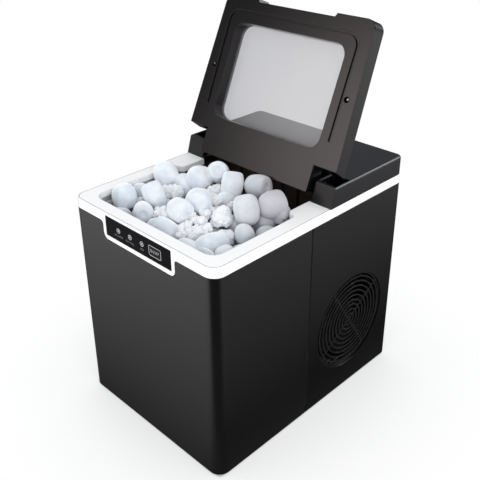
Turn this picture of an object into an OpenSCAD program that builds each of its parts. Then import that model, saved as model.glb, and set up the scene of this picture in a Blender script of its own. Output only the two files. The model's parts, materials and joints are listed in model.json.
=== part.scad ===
// Countertop ice maker: a dark two-part case, a white top with a rounded opening over an ice basket,
// a window lid hinged on a rear cover, and the cooling, pump and tipping-tray parts inside.
// Millimetres. +X is right seen from the front, +Y is back, +Z is up, and the feet stand on z = 0.
// Heights inside the modules are counted from the underside of the case, one foot height above z = 0.

/* [Case] */
// Width of the case
body_w = 226; // [222:1:234]
// Depth of the case
body_d = 300; // [298:1:310]
// Height of the dark walls
wall_top = 246; // [244:1:254]
// Height of the white band above them
band_h = 11; // [10.5:0.5:13]
// Thickness of the plastic walls
wall_t = 2.5; // [2.2:0.1:2.8]
// Radius of the upright front corners
front_r = 14; // [10:1:18]
// Radius of the upright rear corners
rear_r = 6; // [5.5:0.5:9]
// Place of the side seam, from the back of the case
seam_from_back = 160; // [156:1:170]
// Shadow gap between the walls and the white top
reveal = 0.5; // [0.3:0.1:0.8]
// Width of the gap at the side seam
seam_gap = 0.6; // [0.4:0.1:1]
// Depth of the tongue behind the side seam
seam_tongue = 8; // [6:1:12]
// Gap between fixed neighbours
fit = 0.2; // [0.15:0.05:0.25]
// Radial clearance of turning pins and shafts
run_fit = 0.08; // [0.05:0.01:0.1]
// Thickness of the locating tongues
tongue_t = 1.6; // [1.4:0.1:2]
// Width of the air slots
vent_h = 4; // [3:0.25:4.5]
// Length of the air slots in the back
vent_l = 60; // [50:1:64]
// Lower end of the air slots in the side
vent_z = 60; // [50:1:64]

/* [Base pan and feet] */
// Thickness of the base pan
pan_t = 2; // [1.6:0.2:2.4]
// Height of the pan's upturned edge
pan_lip = 14; // [13:1:16]
// Height of the feet
foot_h = 3; // [3:0.25:6]
// Radius of a foot
foot_r = 12; // [10:1:14]
// Feet from the sides
foot_side = 15; // [14:0.5:17]
// Feet from the front and the back
foot_end = 22; // [20:0.5:24]
// Radius of a foot's stem
foot_stem_r = 4; // [3:0.5:4.5]
// Radius of the posts under the compressor
post_r = 3; // [2.6:0.2:3.4]
// Size of the corner blocks for the case screws
boss = 9; // [8:0.5:10]
// Case screws from the sides
case_screw_side = 43; // [40:1:50]
// Lower case screws above the pan
case_screw_low = 8; // [7:0.5:9]
// Width of a slot in the pan
pan_slot = 2.4; // [2:0.2:3]
// Length of the pan's slots
pan_slot_l = 80; // [60:1:90]

/* [Top frame] */
// Thickness of the deck plate
deck_t = 3; // [2.5:0.5:3.5]
// Radius of the deck's outer top edge
deck_edge_r = 1.2; // [0.8:0.1:1.6]
// Deck beside the ice opening
deck_side = 17.5; // [16.5:0.5:19]
// Deck in front of the ice opening
deck_front = 16; // [14:1:18]
// Step where the opening narrows, from the back of the case
step_from_back = 167; // [165:1:169]
// Step inwards where the opening narrows
step_in = 12.5; // [11.5:0.5:13.5]
// Back edge of the narrow part, from the back of the case
neck_from_back = 90; // [86:1:92]
// Radius of the opening's front corners
open_r = 14; // [10:1:18]
// Radius of the opening's corners at the step
step_r = 6; // [5:0.5:7]
// Depth of the lip round the opening
lip_h = 7; // [5:0.5:8]
// Thickness of the lip
lip_t = 1.8; // [1.4:0.1:1.8]
// Fine line in the deck, from its outer edge
line_in = 1.6; // [1.3:0.1:3]
// Width and depth of the fine line
line_w = 0.5; // [0.3:0.1:0.8]

/* [Control panel] */
// Half width of the white tab
tab_hw = 57.5; // [55:0.5:60]
// Height of the tab's lower edge
tab_z = 226; // [224:0.5:228]
// Thickness of the tab
tab_t = 3.2; // [3:0.1:3.6]
// Radius of the tab's lower corners
tab_r = 7; // [5:0.5:9]
// Radius where the tab runs into the band
tab_flare = 4; // [2:0.5:6]
// Half width of the dark panel
panel_hw = 53; // [50:0.5:53.5]
// Lower edge of the panel
panel_z0 = 231; // [230:0.5:232]
// Upper edge of the panel
panel_z1 = 254.5; // [252.5:0.5:255]
// Depth of the panel's recess
panel_in = 2; // [1.8:0.1:2.1]
// Radius of the panel's corners
panel_r = 1; // [0.8:0.1:2]
// Height of the row of lights
light_z = 243.5; // [242:0.5:245]
// Place of the middle light
light_x = -11.7; // [-13:0.1:-10]
// Step from light to light
light_step = 19.3; // [17:0.1:20]
// Radius of a light's lens
light_r = 2.9; // [2.4:0.1:3.4]
// Middle of the button
button_x = 28.2; // [27.5:0.1:31]
// Width of the button
button_w = 20; // [17:0.5:20.5]
// Height of the button
button_h = 12.4; // [10:0.2:13]
// Middle height of the button
button_z = 242; // [240:0.5:243]
// Gap round the button
button_gap = 0.25; // [0.2:0.05:0.4]
// How far the button goes in
button_travel = 0.8; // [0.5:0.1:0.9]
// Radius of the button's corners
button_r = 2; // [1.5:0.1:3]
// Thickness of the boards
board_t = 1.6; // [1.2:0.2:2]
// Half length of the control board
board_hl = 48; // [46:0.5:49]
// Height of the control board
board_h = 18; // [16:0.5:19]
// Width of the power board
power_w = 66; // [60:1:70]
// Height of the power board
power_h = 74; // [60:1:76]
// Width of the transformer
coil_w = 22; // [18:1:24]
// Height of the transformer
coil_h = 20; // [16:1:24]
// Depth of the transformer
coil_d = 9; // [7:0.5:12]

/* [Tank and basket] */
// Wall of the water tank
tank_t = 2; // [1.8:0.1:2.2]
// Tank wall outside the edge of the opening
tank_gap = 2; // [2:0.1:2.4]
// Height of the tank floor
tank_floor = 75; // [68:1:80]
// Height of the foam round the tank
foam_top = 222; // [205:1:223]
// Gap between the foam and the fan's shroud
foam_gap = 5.8; // [4:0.2:8]
// Height the basket stands at
basket_z = 120; // [114:1:126]
// Top of the basket
basket_top = 246; // [238:0.5:247]
// Gap between the basket and the opening's edge
basket_gap = 2.5; // [1.5:0.25:3.5]
// Wall of the basket
basket_t = 2; // [1.6:0.1:2.4]
// Radius of the basket's corners
basket_r = 11; // [9:0.5:12]
// Top of the basket's low rear wall
basket_low = 188; // [180:1:190]
// Drain hole from the side of the case
drain_from_side = 53; // [47:1:63]
// Drain hole from the front of the case
drain_from_front = 60; // [50:1:70]
// Bore of the drain pipe
drain_r = 6; // [5:0.5:7]
// Wall of the drain pipe
drain_wall = 2.5; // [2:0.5:3]
// Radius of the drain plug's head
plug_r = 11; // [10.5:0.5:13]
// Size of the basket's slots
slot_w = 5; // [4:0.5:6]
// Length of the basket's slots
slot_l = 48; // [40:1:56]
// Radius of the basket's drain holes
sieve_r = 3.2; // [2.6:0.2:3.6]
// Thickness of the drain plug's head
plug_head = 2.2; // [1.8:0.1:2.4]
// Length of the drain plug above the case's underside
plug_l = 12; // [8:0.5:16]

/* [Ice chamber] */
// Height of the chamber's front sill
cham_z = 165; // [162:1:168]
// Rise of the chamber floor to the back
cham_rise = 12; // [9:1:14]
// Wall of the chamber
cham_t = 2; // [1.8:0.1:2.2]
// Pivot of the water tray in front of the back of the opening
tray_in = 24; // [23.5:0.25:26]
// Pivot height of the water tray
tray_z = 206; // [203:0.5:208]
// Inner radius of the tray
tray_r = 20; // [19:0.25:20.5]
// Wall of the tray
tray_t = 2; // [1.6:0.1:2]
// Gap between the tray's ends and the opening's sides
tray_end = 9; // [7:0.5:10]
// Radius of the tray's stub shafts
tray_pin = 4; // [3:0.5:5]
// Height of the cooling tube above the tray pivot
evap_up = 13; // [12:0.5:13.5]
// Radius of the cooling tube
evap_r = 4; // [3.5:0.25:4.25]
// Bend of the cooling tube
evap_bend = 8; // [6:0.5:10]
// Number of cooling fingers
fingers = 8; // [6:1:8]
// Outer fingers from the tray's ends
finger_end = 18; // [16:0.5:22]
// Radius of a finger
finger_r = 4.2; // [3.5:0.1:4.5]
// Length of a finger
finger_l = 28; // [22:0.5:28]
// Height of the ice sensors
sensor_z = 243; // [240:0.5:246]
// Size of an ice sensor
sensor_h = 10; // [8:0.5:12]
// Height of the water hose's end
hose_top = 222; // [220:0.5:226]
// Width of a panel of the chamber's rear wall
slat_w = 16; // [14:0.5:18]
// Number of panels
slats = 7; // [6:1:8]
// How far the panels stand out
slat_t = 3; // [2:0.25:3]
// Pivot of the shovel behind the step of the opening
shovel_in = 13; // [11.5:0.5:14]
// Pivot height of the shovel
shovel_z = 240; // [238:0.5:242]
// Radius of the shovel's shaft
shovel_pin = 3; // [2.5:0.25:3.5]
// Length of the shovel below its pivot
shovel_l = 46; // [40:1:48]
// Thickness of the shovel's plate
shovel_t = 2.4; // [2:0.1:3]
// Outer ribs of the shovel from the chamber's sides
rib_end = 15; // [12:0.5:20]
// Thickness of the shovel's ribs
rib_t = 3; // [2:0.25:4]

/* [Lid] */
// How far the lid stands open, in degrees
lid_open = 113; // [106:1:113]
// Pivot of the lid, from the back of the case
hinge_from_back = 115.9; // [115.4:0.1:116.4]
// Pivot of the lid above the deck
hinge_up = 17.6; // [17.4:0.1:17.8]
// Gap between the closed lid and the deck
lid_gap = 0.5; // [0.4:0.1:0.8]
// Rear end of the lid, from the back of the case, closed
lid_from_back = 133; // [132.75:0.25:134]
// Deck left free in front of the closed lid
lid_short = 9.4; // [7:0.2:12]
// Thickness of the lid
lid_t = 18; // [17:0.25:18.25]
// Deck left free beside the lid at the rear
lid_side = 1; // [0.6:0.1:4]
// Narrowing of each side towards the front
lid_taper = 6.5; // [4:0.5:8]
// Radius of the lid's front corners
lid_r = 11; // [8:0.5:13]
// Thickness of the lid's plates
lid_wall = 2.5; // [2.2:0.1:2.8]
// Thickness of the inner panel
liner_t = 2.6; // [2.4:0.1:3]
// Half width of the finger notch
notch_hw = 54; // [40:1:60]
// Depth of the finger notch
notch_in = 4; // [2.5:0.25:4]
// Lid beside the window
win_side = 32; // [32:0.5:36]
// Rear edge of the window, from the lid's rear end
win_s0 = 15; // [14:0.5:20]
// Lid in front of the window
win_front = 29.6; // [27.6:0.5:36]
// Radius of the window's corners
win_r = 14; // [10:0.5:18]
// Thickness of the window pane
pane_t = 2.5; // [2:0.1:3]
// Middle of the groove from the lid's side
groove_side = 20; // [19.5:0.25:21]
// Width of the groove
groove_w = 3.2; // [2.4:0.1:3.6]
// Depth of the groove
groove_in = 1.6; // [1:0.1:1.8]
// Groove's front run, from the front of the lid
groove_front = 18.6; // [16.6:0.5:20]
// Lid screws from the lid's side
screw_side = 14; // [13.5:0.25:14.5]
// Place of the lid screws along the lid, as a share of its length
screw_share = 0.47; // [0.38:0.01:0.56]
// Radius of the lid screws' heads
lid_head_r = 3; // [2.6:0.1:3.2]
// Gap beside the hinge block
block_gap = 4; // [4:0.25:6]
// Length of the hinge block behind the lid
block_l = 30; // [27:0.5:31]
// Radius of the hinge barrel
barrel_r = 4.4; // [4:0.1:4.5]
// Radius of the hinge pins
hinge_r = 2.5; // [2:0.1:2.8]

/* [Rear cover] */
// Height of the rear cover
cover_h = 22.5; // [22:0.25:24]
// Gap between the closed lid and the ears
ear_clear = 1.5; // [1.25:0.25:2]
// Width of an ear
ear_w = 27; // [26:0.25:28.5]
// Slope of the ears' front, across per unit of height
ear_slope = 0.3; // [0.27:0.01:0.33]
// Back of the gap between the ears, from the back of the case
well_from_back = 98; // [95:0.5:99]
// Front wall of the ears at the top
ear_wall = 2.7; // [2:0.1:3.5]
// Thickness of the skirts that line the hinge well
well_skirt = 1.5; // [1.2:0.1:1.6]
// Radius of the cover's rear corners
cover_r = 8; // [6:0.5:10]
// Radius of the cover's top edge
cover_edge = 3; // [2:0.25:4]

/* [Fan side] */
// Middle of the fan, from the back of the case
fan_from_back = 82.2; // [81:0.2:84]
// Middle height of the fan
fan_z = 92; // [90:0.5:96]
// Radius of the round hole in the side
grille_r = 61.3; // [61:0.1:62]
// Largest ring of the grille
ring_r = 55.5; // [53:0.25:56]
// Step between rings
ring_step = 6; // [5.75:0.05:6.1]
// Number of rings
rings = 9; // [5:1:9]
// Radial width of a ring
ring_w = 1.4; // [1.1:0.1:1.8]
// Width of a spoke
spoke_w = 2.2; // [1.8:0.1:3.2]
// Radius of the grille's middle
grille_hub = 3.5; // [3:0.25:5]
// Turn of the spokes
spoke_turn = 33; // [20:1:45]
// Radius of the fan's tips
fan_r = 50; // [46:0.5:51]
// Radius of the fan's hub
hub_r = 16; // [14:0.5:18]
// Number of blades
blades = 7; // [5:1:9]
// Pitch of the blades
blade_pitch = 32; // [25:1:36]
// Inner radius of the shroud
shroud_r = 53; // [52.5:0.25:54]
// Half size of the shroud's square duct
duct_h = 59; // [58:0.5:60]
// Radius of the fan motor
motor_r = 20; // [17:0.5:22]
// Inner face of the condenser, from the side of the case
cond_from_side = 79; // [77:0.5:81]
// Thickness of the condenser
cond_t = 22; // [20:0.5:23]
// Number of fins
fins = 22; // [16:1:24]
// Thickness of a fin
fin_t = 0.8; // [0.6:0.1:1]
// Half length of the condenser
cond_hl = 52; // [48:0.5:52.5]
// Half height of the condenser
cond_hh = 55; // [50:0.5:56]
// Step between the condenser's tubes
cond_step = 28; // [26:0.5:30]

/* [Cooling machine] */
// Middle of the compressor, from the side of the case
comp_from_side = 62; // [60:0.5:64]
// Middle of the compressor, from the back of the case
comp_from_back = 58; // [56:0.5:59]
// Radius of the compressor
comp_r = 39; // [37:0.5:41]
// Height of the compressor's shell
comp_h = 108; // [95:1:115]
// Rounding of the compressor's shell
comp_round = 16; // [12:0.5:20]
// Half width of the compressor's plate
plate_h = 46; // [43:0.5:46]
// Grommets from the edge of the plate
grommet_in = 11; // [10.75:0.25:12]
// Radius of the compressor's grommets
grommet_r = 6.5; // [6:0.25:7]
// Thickness of the compressor's plate
plate_t = 2.5; // [2:0.1:3]
// Height of the compressor's plate above the case's underside
comp_z = 12; // [11:0.5:13]
// Bend of the copper tubes
pipe_bend = 6; // [5:0.25:6]
// Rise of the copper tubes above the compressor
loop_up = 27.5; // [26:0.5:28.5]
// Place of the pump across the case
pump_x = -10; // [-12:0.5:-8]
// Height of the pump's lower end above the case's underside
pump_z = 58; // [54:1:60]
// Radius of the pump
pump_r = 15; // [12:0.5:16]
// Height of the pump
pump_h = 36; // [30:1:40]
// Width of the pump's foot
pump_foot = 40; // [34:1:44]
// Radius of the filter dryer
dryer_r = 8; // [7:0.25:9]
// Length of the filter dryer
dryer_l = 72; // [60:1:76]
// Radius of the tray motor
tray_motor_r = 18; // [15:0.5:19]
// Length of the tray motor
tray_motor_l = 15; // [12:0.5:16]
// Radius of the copper tubes
pipe_r = 3; // [2.5:0.1:3.25]
// Outer radius of the water hose
hose_r = 5; // [4.5:0.25:5.25]
// Wall of the water hose
hose_wall = 1.5; // [1:0.1:1.8]
// Bend of the water hose
hose_bend = 9; // [8:0.5:9.5]

/* [Hidden] */
$fn = 96;
hw = body_w / 2;
front = -body_d / 2;
back = body_d / 2;
deck_z = wall_top + band_h;
deck_under = deck_z - deck_t;
inside = wall_t + fit;
eps = 0.01;
cut = 1;
skirt_t = 3;
foam_in = inside + pan_t + fit;
foot_x = hw - foot_side;
foot_y = back - foot_end;
seam_y = back - seam_from_back;
open_w = body_w - 2 * deck_side;
open_front = front + deck_front;
open_step = back - step_from_back;
neck_w = open_w - 2 * step_in;
neck_back = back - neck_from_back;
tray_y = neck_back - tray_in;
tray_hl = neck_w / 2 - tray_end;
evap_z = tray_z + evap_up;
finger_step = (2 * tray_hl - 2 * finger_end) / (fingers - 1);
shovel_y = open_step + shovel_in;
hinge_y = back - hinge_from_back;
lid_back = back - lid_from_back;
lid_l = lid_back - front - lid_short;
lid_hw = hw - lid_side;
win_hw = lid_hw - win_side;
win_s1 = lid_l - win_front;
groove_x = lid_hw - groove_side;
groove_s = lid_l - groove_front;
screw_x = lid_hw - screw_side;
screw_s = screw_share * lid_l;
ear_y = lid_back + ear_clear;
ear_gap = hw - ear_w;
block_hw = ear_gap - block_gap;
well_back = back - well_from_back;
fan_y = back - fan_from_back;
foam_back = fan_y - duct_h - foam_gap;
cond_x = hw - cond_from_side;
comp_x = comp_from_side - hw;
comp_y = back - comp_from_back;
tank_hx = open_w / 2 + tank_gap;
tank_y0 = open_front - tank_gap;
tank_y1 = open_step + 2 * tank_gap;
tank_r = 8;
basket_mid = (open_front + open_step) / 2;
basket_d = open_step - open_front;
pump_y = foam_back + pump_r + 6;
spout_x = pump_x;
spout_z = tank_floor + 9;
spout_len = 16;
cham_hx = neck_w / 2 + tank_gap;
cham_front = tank_y1 + tank_t;
cham_back = neck_back + tank_gap;
slat_y = cham_back - slat_t;
cham_slope = cham_z + cham_rise;
tray_out = tray_r + tray_t;
slat_step = 2 * cham_hx / (slats + 0.4);
evap_x = (slats - 1) / 2 * slat_step - 3;
groove_top = deck_z - lip_h - 2;
rib_step = (2 * cham_hx - 2 * rib_end) / 7;
stub_end = cham_hx + cham_t + 5;
lid_z = deck_z + lid_gap;
taper = lid_taper / lid_l;
lid_slope = ear_slope;
pane_n = lid_t - lid_wall - pane_t;
notch_slant = 3;
drain_out = drain_r + drain_wall;
drain_x = hw - drain_from_side;
drain_y = front + drain_from_front;
board_y = front + 7;
duct_x0 = cond_x + cond_t + 2;
duct_x1 = duct_x0 + 26;
grille_face = hw - 1.5;
hub_x = duct_x1 + 2;
hub_len = hw - 9 - hub_x;
hose_x = pump_x + 0.67 * pump_r;
hose_y = cham_back + 2 * hose_r;
hose_low = pump_z + pump_h - 10;
comp_top = comp_z + plate_t + comp_h;
loop_z = comp_top + loop_up;
loop_y = back - 18;
cond_row = 0.28 * cond_t;
cond_in = cond_x + cond_row;
pipe_end = cham_back + cham_t + 6;
pass_z = evap_z - 19;
pass_y = back - 30;
return_y = comp_y - 10;
dryer_x = 8;
dryer_y = back - 14;
dryer_z = 58;
grommet_off = plate_h - grommet_in;
screw_r = 1.6;
head_r = 3.8;
head_t = 1.5;
recess = head_t + 0.1;
lid_sunk = 0.4;
case_screw_x = hw - case_screw_side;
case_screw_high = wall_top - 5;
gland_x = 28 - hw;
gland_z = 34;
gland_r = 8;
gland_bore = 3.4;
power_y = back - 12 - power_w;
power_z = wall_top - 20 - power_h;

// ---- helpers

module raise() translate([0, 0, foot_h]) children();

// a flat shape drawn in X and Z, standing from y0 to y0 + t
module slab_y(y0, t) translate([0, y0 + t, 0]) rotate([90, 0, 0]) linear_extrude(t) children();

// a flat shape drawn in Y and Z, standing from x0 to x0 + t
module slab_x(x0, t) translate([x0, 0, 0]) rotate([90, 0, 90]) linear_extrude(t) children();

module both_sides() {
    children();
    mirror([1, 0, 0]) children();
}

// rectangle about x = 0 with one radius for its front corners and another for its rear ones
module plan4(x, y0, y1, rf, rb) union() {
    translate([-x, y0 + rf]) square([2 * x, y1 - y0 - rf - rb]);
    translate([rf - x, y0]) square([2 * (x - rf), rf + cut]);
    translate([rb - x, y1 - rb - cut]) square([2 * (x - rb), rb + cut]);
    for (s = [-1, 1]) {
        translate([s * (x - rf), y0 + rf]) circle(rf);
        translate([s * (x - rb), y1 - rb]) circle(rb);
    }
}

module rrect(x0, x1, y0, y1, r) translate([(x0 + x1) / 2, 0]) plan4((x1 - x0) / 2, y0, y1, r, r);

// outline of the case, drawn in by g
module case_plan(g) plan4(hw - g, front + g, back - g, front_r - g, max(rear_r - g, 0.6));

module behind(y) translate([-body_w, y]) square([2 * body_w, body_d]);

module before(y) translate([-body_w, y - 2 * body_d]) square([2 * body_w, 2 * body_d]);

// w wide and h high, with its upper outer corner rounded
module edge_profile(w, h, r) union() {
    square([w - r, h]);
    square([w, h - r]);
    translate([w - r, h - r]) circle(r);
}

// block about x = 0 with rounded upright corners and a rounded top edge
module soft_slab(x, y0, y1, h, rf, rb, re) {
    m = min(rf, rb);
    translate([m - x, y0 + rf, 0]) cube([2 * (x - m), y1 - y0 - rf - rb, h]);
    both_sides() translate([x - m, y1 - rb, 0]) rotate([90, 0, 0])
        linear_extrude(y1 - y0 - rf - rb) edge_profile(m, h, re);
    slab_x(rb - x, 2 * (x - rb)) translate([y1 - rb, 0]) edge_profile(rb, h, re);
    slab_x(rf - x, 2 * (x - rf)) translate([y0 + rf, 0]) mirror([1, 0]) edge_profile(rf, h, re);
    both_sides() translate([x - rf, y0 + rf, 0]) rotate_extrude() edge_profile(rf, h, re);
    both_sides() translate([x - rb, y1 - rb, 0]) rotate_extrude() edge_profile(rb, h, re);
}

function unit(v) = v / norm(v);

// round bar from a to b
module bar(a, b, r) {
    v = b - a;
    translate(a) rotate([0, acos(v[2] / norm(v)), atan2(v[1], v[0])]) cylinder(r = r, h = norm(v));
}

// round tube through a list of points, turning a square corner of radius bend at each inner one
module tube(points, r, bend) union() {
    last = len(points) - 1;
    for (i = [1:last]) {
        d = unit(points[i] - points[i - 1]);
        bar(points[i - 1] + (i > 1 ? bend : 0) * d, points[i] - (i < last ? bend : 0) * d, r);
    }
    for (i = [1:1:last - 1]) {
        a = unit(points[i] - points[i - 1]);
        b = unit(points[i + 1] - points[i]);
        n = cross(a, b);
        c = points[i] + bend * (b - a);
        multmatrix([[-b[0], a[0], n[0], c[0]], [-b[1], a[1], n[1], c[1]], [-b[2], a[2], n[2], c[2]]])
            rotate_extrude(angle = 90) translate([bend, 0]) circle(r);
    }
}

// screw along +Z with its head at the bottom and a crossed recess
module screw(length, head) difference() {
    union() {
        cylinder(r = head, h = head_t);
        cylinder(r = screw_r, h = length);
    }
    for (a = [0, 90]) rotate(a) translate([-0.5, -0.58 * head, -cut])
        cube([1, 1.16 * head, cut + 0.8]);
}

module at_feet() for (x = [-foot_x, foot_x], y = [-foot_y, foot_y]) translate([x, y, 0]) children();

module at_back_screws() for (x = [-case_screw_x, case_screw_x], z = [case_screw_low, case_screw_high])
    translate([x, back, z]) rotate([90, 0, 0]) children();

module at_grommets() for (x = [-grommet_off, grommet_off], y = [-grommet_off, grommet_off])
    translate([comp_x + x, comp_y + y, 0]) children();

module at_fan(x) translate([x, fan_y, fan_z]) rotate([90, 0, 90]) children();

// plan of the ice opening, grown by g
module opening_plan(g) union() {
    plan4(open_w / 2 + g, open_front - g, open_step + g, open_r + g, step_r + g);
    plan4(neck_w / 2 + g, open_step - 20, neck_back + g, step_r, step_r);
    for (s = [-1, 1]) scale([s, 1]) translate([neck_w / 2 + g, open_step + g]) difference() {
        translate([-cut, -cut]) square([step_r - g + cut, step_r - g + cut]);
        translate([step_r - g, step_r - g]) circle(step_r - g);
    }
}

// front outline of the white tab, grown by g
module tab_profile(g) union() {
    rrect(-tab_hw - g, tab_hw + g, tab_z - g, wall_top + tab_r + cut, tab_r + g);
    for (s = [-1, 1]) mirror([s < 0 ? 1 : 0, 0]) translate([tab_hw + g, wall_top - tab_flare + g])
        difference() {
            translate([-cut, 0]) square([tab_flare - g + cut, tab_flare - g]);
            translate([tab_flare - g, 0]) circle(tab_flare - g);
        }
}

module tank_plan(g) plan4(tank_hx + g, tank_y0 - g, tank_y1 + g, tank_r + g, tank_r + g);

// ---- base

module base_pan() color("#4c4f53") raise() difference() {
    union() {
        linear_extrude(pan_t) case_plan(inside);
        linear_extrude(pan_lip) difference() {
            case_plan(inside);
            case_plan(inside + pan_t);
        }
        at_grommets() cylinder(r = post_r, h = comp_z + plate_t + 6);
        for (x = [-case_screw_x, case_screw_x]) translate([x - boss / 2, back - inside - boss, 0])
            cube([boss, boss, pan_lip]);
    }
    at_feet() translate([0, 0, -cut]) cylinder(r = foot_stem_r + 0.02, h = pan_t + 2 * cut);
    translate([drain_x, drain_y, -cut]) cylinder(r = drain_out + fit, h = pan_t + 2 * cut);
    at_back_screws() cylinder(r = screw_r, h = 30);
    for (i = [-3:3]) translate([cond_x + 36 + i * 2 * pan_slot, fan_y - pan_slot_l / 2, -cut])
        linear_extrude(pan_t + 2 * cut) rrect(-pan_slot / 2, pan_slot / 2, 0, pan_slot_l, 0.45 * pan_slot);
}

module feet() color("#1b1b1b") at_feet() difference() {
    rotate_extrude() union() {
        edge_profile(foot_r - 1, foot_h, 0.8);
        translate([0, 0.6]) square([foot_r, foot_h - 1.4]);
        square([foot_stem_r, foot_h + pan_t + 2]);
        translate([0, foot_h + pan_t]) square([foot_stem_r + 1, 2]);
    }
    translate([0, 0, -cut]) cylinder(r = foot_r - 5, h = cut + foot_h / 3);
}

// ---- case

module front_shell() color("#2e2e32") raise() difference() {
    linear_extrude(wall_top - reveal) difference() {
        case_plan(0);
        case_plan(wall_t);
        behind(seam_y - seam_gap / 2);
    }
    slab_y(front - cut, wall_t + front_r) tab_profile(reveal);
}

module rear_shell() color("#242427") raise() difference() {
    union() {
        linear_extrude(wall_top - reveal) difference() {
            case_plan(0);
            case_plan(wall_t);
            before(seam_y + seam_gap / 2);
        }
        translate([0, 0, pan_lip + 1]) linear_extrude(wall_top - pan_lip - 12) difference() {
            union() {
                intersection() {
                    case_plan(inside);
                    behind(seam_y - seam_tongue);
                }
                intersection() {
                    case_plan(wall_t - eps);
                    behind(seam_y + 1);
                }
            }
            case_plan(inside + tongue_t);
            behind(seam_y + seam_tongue);
        }
    }
    at_fan(hw - wall_t - cut) cylinder(r = grille_r, h = wall_t + 2 * cut);
    for (i = [-4:4]) slab_x(-hw - cut, wall_t + 2 * cut) translate([comp_y + 4 * i * vent_h / 1.6, 0])
        rrect(-vent_h / 2, vent_h / 2, vent_z, vent_z + 1.5 * vent_l, 0.48 * vent_h);
    for (i = [0:9], s = [-1, 1]) slab_y(back - wall_t - cut, wall_t + 2 * cut)
        translate([s * 0.67 * vent_l, vent_z + 50 + 2.25 * i * vent_h])
            rrect(-vent_l / 2, vent_l / 2, -vent_h / 2, vent_h / 2, 0.48 * vent_h);
    at_back_screws() translate([0, 0, -cut]) cylinder(r = head_r + 0.1, h = recess + cut);
    at_back_screws() cylinder(r = screw_r + fit, h = 10);
    slab_y(back - wall_t - cut, wall_t + 2 * cut) translate([gland_x, gland_z]) circle(gland_r);
}

module fan_grille() color("#1d1d20") raise() at_fan(0) union() {
    translate([0, 0, hw - 5]) rotate_extrude() translate([grille_r - fit - 2.4, 0])
        square([2.4, 2.6]);
    translate([0, 0, hw - wall_t - 2]) rotate_extrude() translate([grille_r - fit - 1, 0])
        square([4.5, 2]);
    for (i = [0:rings - 1]) translate([0, 0, grille_face - 2.2]) rotate_extrude()
        translate([ring_r - i * ring_step - ring_w / 2, 0]) square([ring_w, 2.2]);
    translate([0, 0, grille_face - 3.4]) cylinder(r = grille_hub, h = 3.4);
    for (i = [0:3]) rotate(spoke_turn + 90 * i) translate([grille_hub / 2, -spoke_w / 2, hw - 5])
        cube([grille_r - fit - 2 - grille_hub / 2, spoke_w, 2.6]);
}

module top_frame() color("#f4f4f4") raise() difference() {
    union() {
        difference() {
            translate([0, 0, wall_top]) soft_slab(hw, front, back, band_h, front_r, rear_r, deck_edge_r);
            translate([0, 0, wall_top - cut]) linear_extrude(deck_under - wall_top + cut)
                case_plan(skirt_t);
        }
        translate([0, 0, deck_z - lip_h]) linear_extrude(lip_h - eps) opening_plan(lip_t);
        translate([0, 0, wall_top - 8]) linear_extrude(11) difference() {
            case_plan(inside);
            case_plan(inside + tongue_t);
            translate([-tab_hw, front - cut]) square([2 * tab_hw, 20]);
        }
        slab_y(front, tab_t) tab_profile(0);
        for (x = [-case_screw_x, case_screw_x])
            translate([x - boss / 2, back - inside - boss, wall_top - 10])
                cube([boss, boss, deck_under - wall_top + 11]);
    }
    translate([0, 0, deck_z - line_w]) linear_extrude(band_h) difference() {
        case_plan(line_in);
        case_plan(line_in + line_w);
    }
    both_sides() translate([neck_w / 2 - 1, ear_y, wall_top - cut])
        cube([1 + well_skirt + 2 * fit, neck_back - step_r - ear_y, band_h + 2 * cut]);
    translate([0, 0, wall_top - 20]) linear_extrude(band_h + 30) opening_plan(0);
    slab_y(front - cut, panel_in + cut) rrect(-panel_hw, panel_hw, panel_z0, panel_z1, panel_r);
    slab_y(front - cut, tab_t + 4) rrect(light_x - light_step - 7, button_x + button_w / 2 + 3.5,
        button_z - button_h / 2 - 1.2, button_z + button_h / 2 + 2.3, 2);
    at_back_screws() cylinder(r = screw_r, h = 30);
}

module rear_cover() color("#26262a") raise() translate([0, 0, deck_z]) union() {
    difference() {
        soft_slab(hw, ear_y - 12, back, cover_h, 2 * cover_edge + 1, cover_r, cover_edge);
        slab_x(-hw - cut, body_w + 2 * cut) polygon([[ear_y - 20, -cut], [ear_y - cut * ear_slope, -cut],
            [ear_y + (cover_h + cut) * ear_slope, cover_h + cut], [ear_y - 20, cover_h + cut]]);
        translate([-ear_gap, 0, -cut]) cube([2 * ear_gap, well_back, cover_h + 2 * cut]);
        translate([0, 0, -cut]) linear_extrude(cover_h - wall_t + cut) difference() {
            plan4(hw - wall_t, -50, back - wall_t, 4, cover_r - wall_t);
            before(well_back + wall_t);
        }
        both_sides() translate([ear_gap + wall_t, ear_y + cover_h * ear_slope + ear_wall, wall_t])
            cube([hw - ear_gap - 2 * wall_t, well_back - ear_y - cover_h * ear_slope - ear_wall, cover_h]);
        slab_x(-hw + 10, body_w - 20) translate([hinge_y, hinge_up]) circle(hinge_r + run_fit);
    }
    both_sides() translate([neck_w / 2 + fit, ear_y + fit, 0]) {
        cube([ear_gap - neck_w / 2 + wall_t / 2, neck_back - step_r - ear_y - 2 * fit, well_skirt]);
        translate([0, 0, -lip_h]) cube([well_skirt, neck_back - step_r - ear_y - 2 * fit, lip_h + 1]);
    }
}

// ---- control panel

module control_panel() color("#211e24") raise() difference() {
    slab_y(front + fit, panel_in - fit)
        rrect(-panel_hw + fit, panel_hw - fit, panel_z0 + fit, panel_z1 - fit, panel_r - fit);
    slab_y(front - cut, panel_in + 2 * cut) union() {
        for (i = [-1:1]) translate([light_x + i * light_step, light_z]) circle(light_r + 0.05);
        translate([button_x, button_z]) rrect(-button_w / 2 - button_gap, button_w / 2 + button_gap,
            -button_h / 2 - button_gap, button_h / 2 + button_gap, button_r + button_gap);
    }
}

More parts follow.
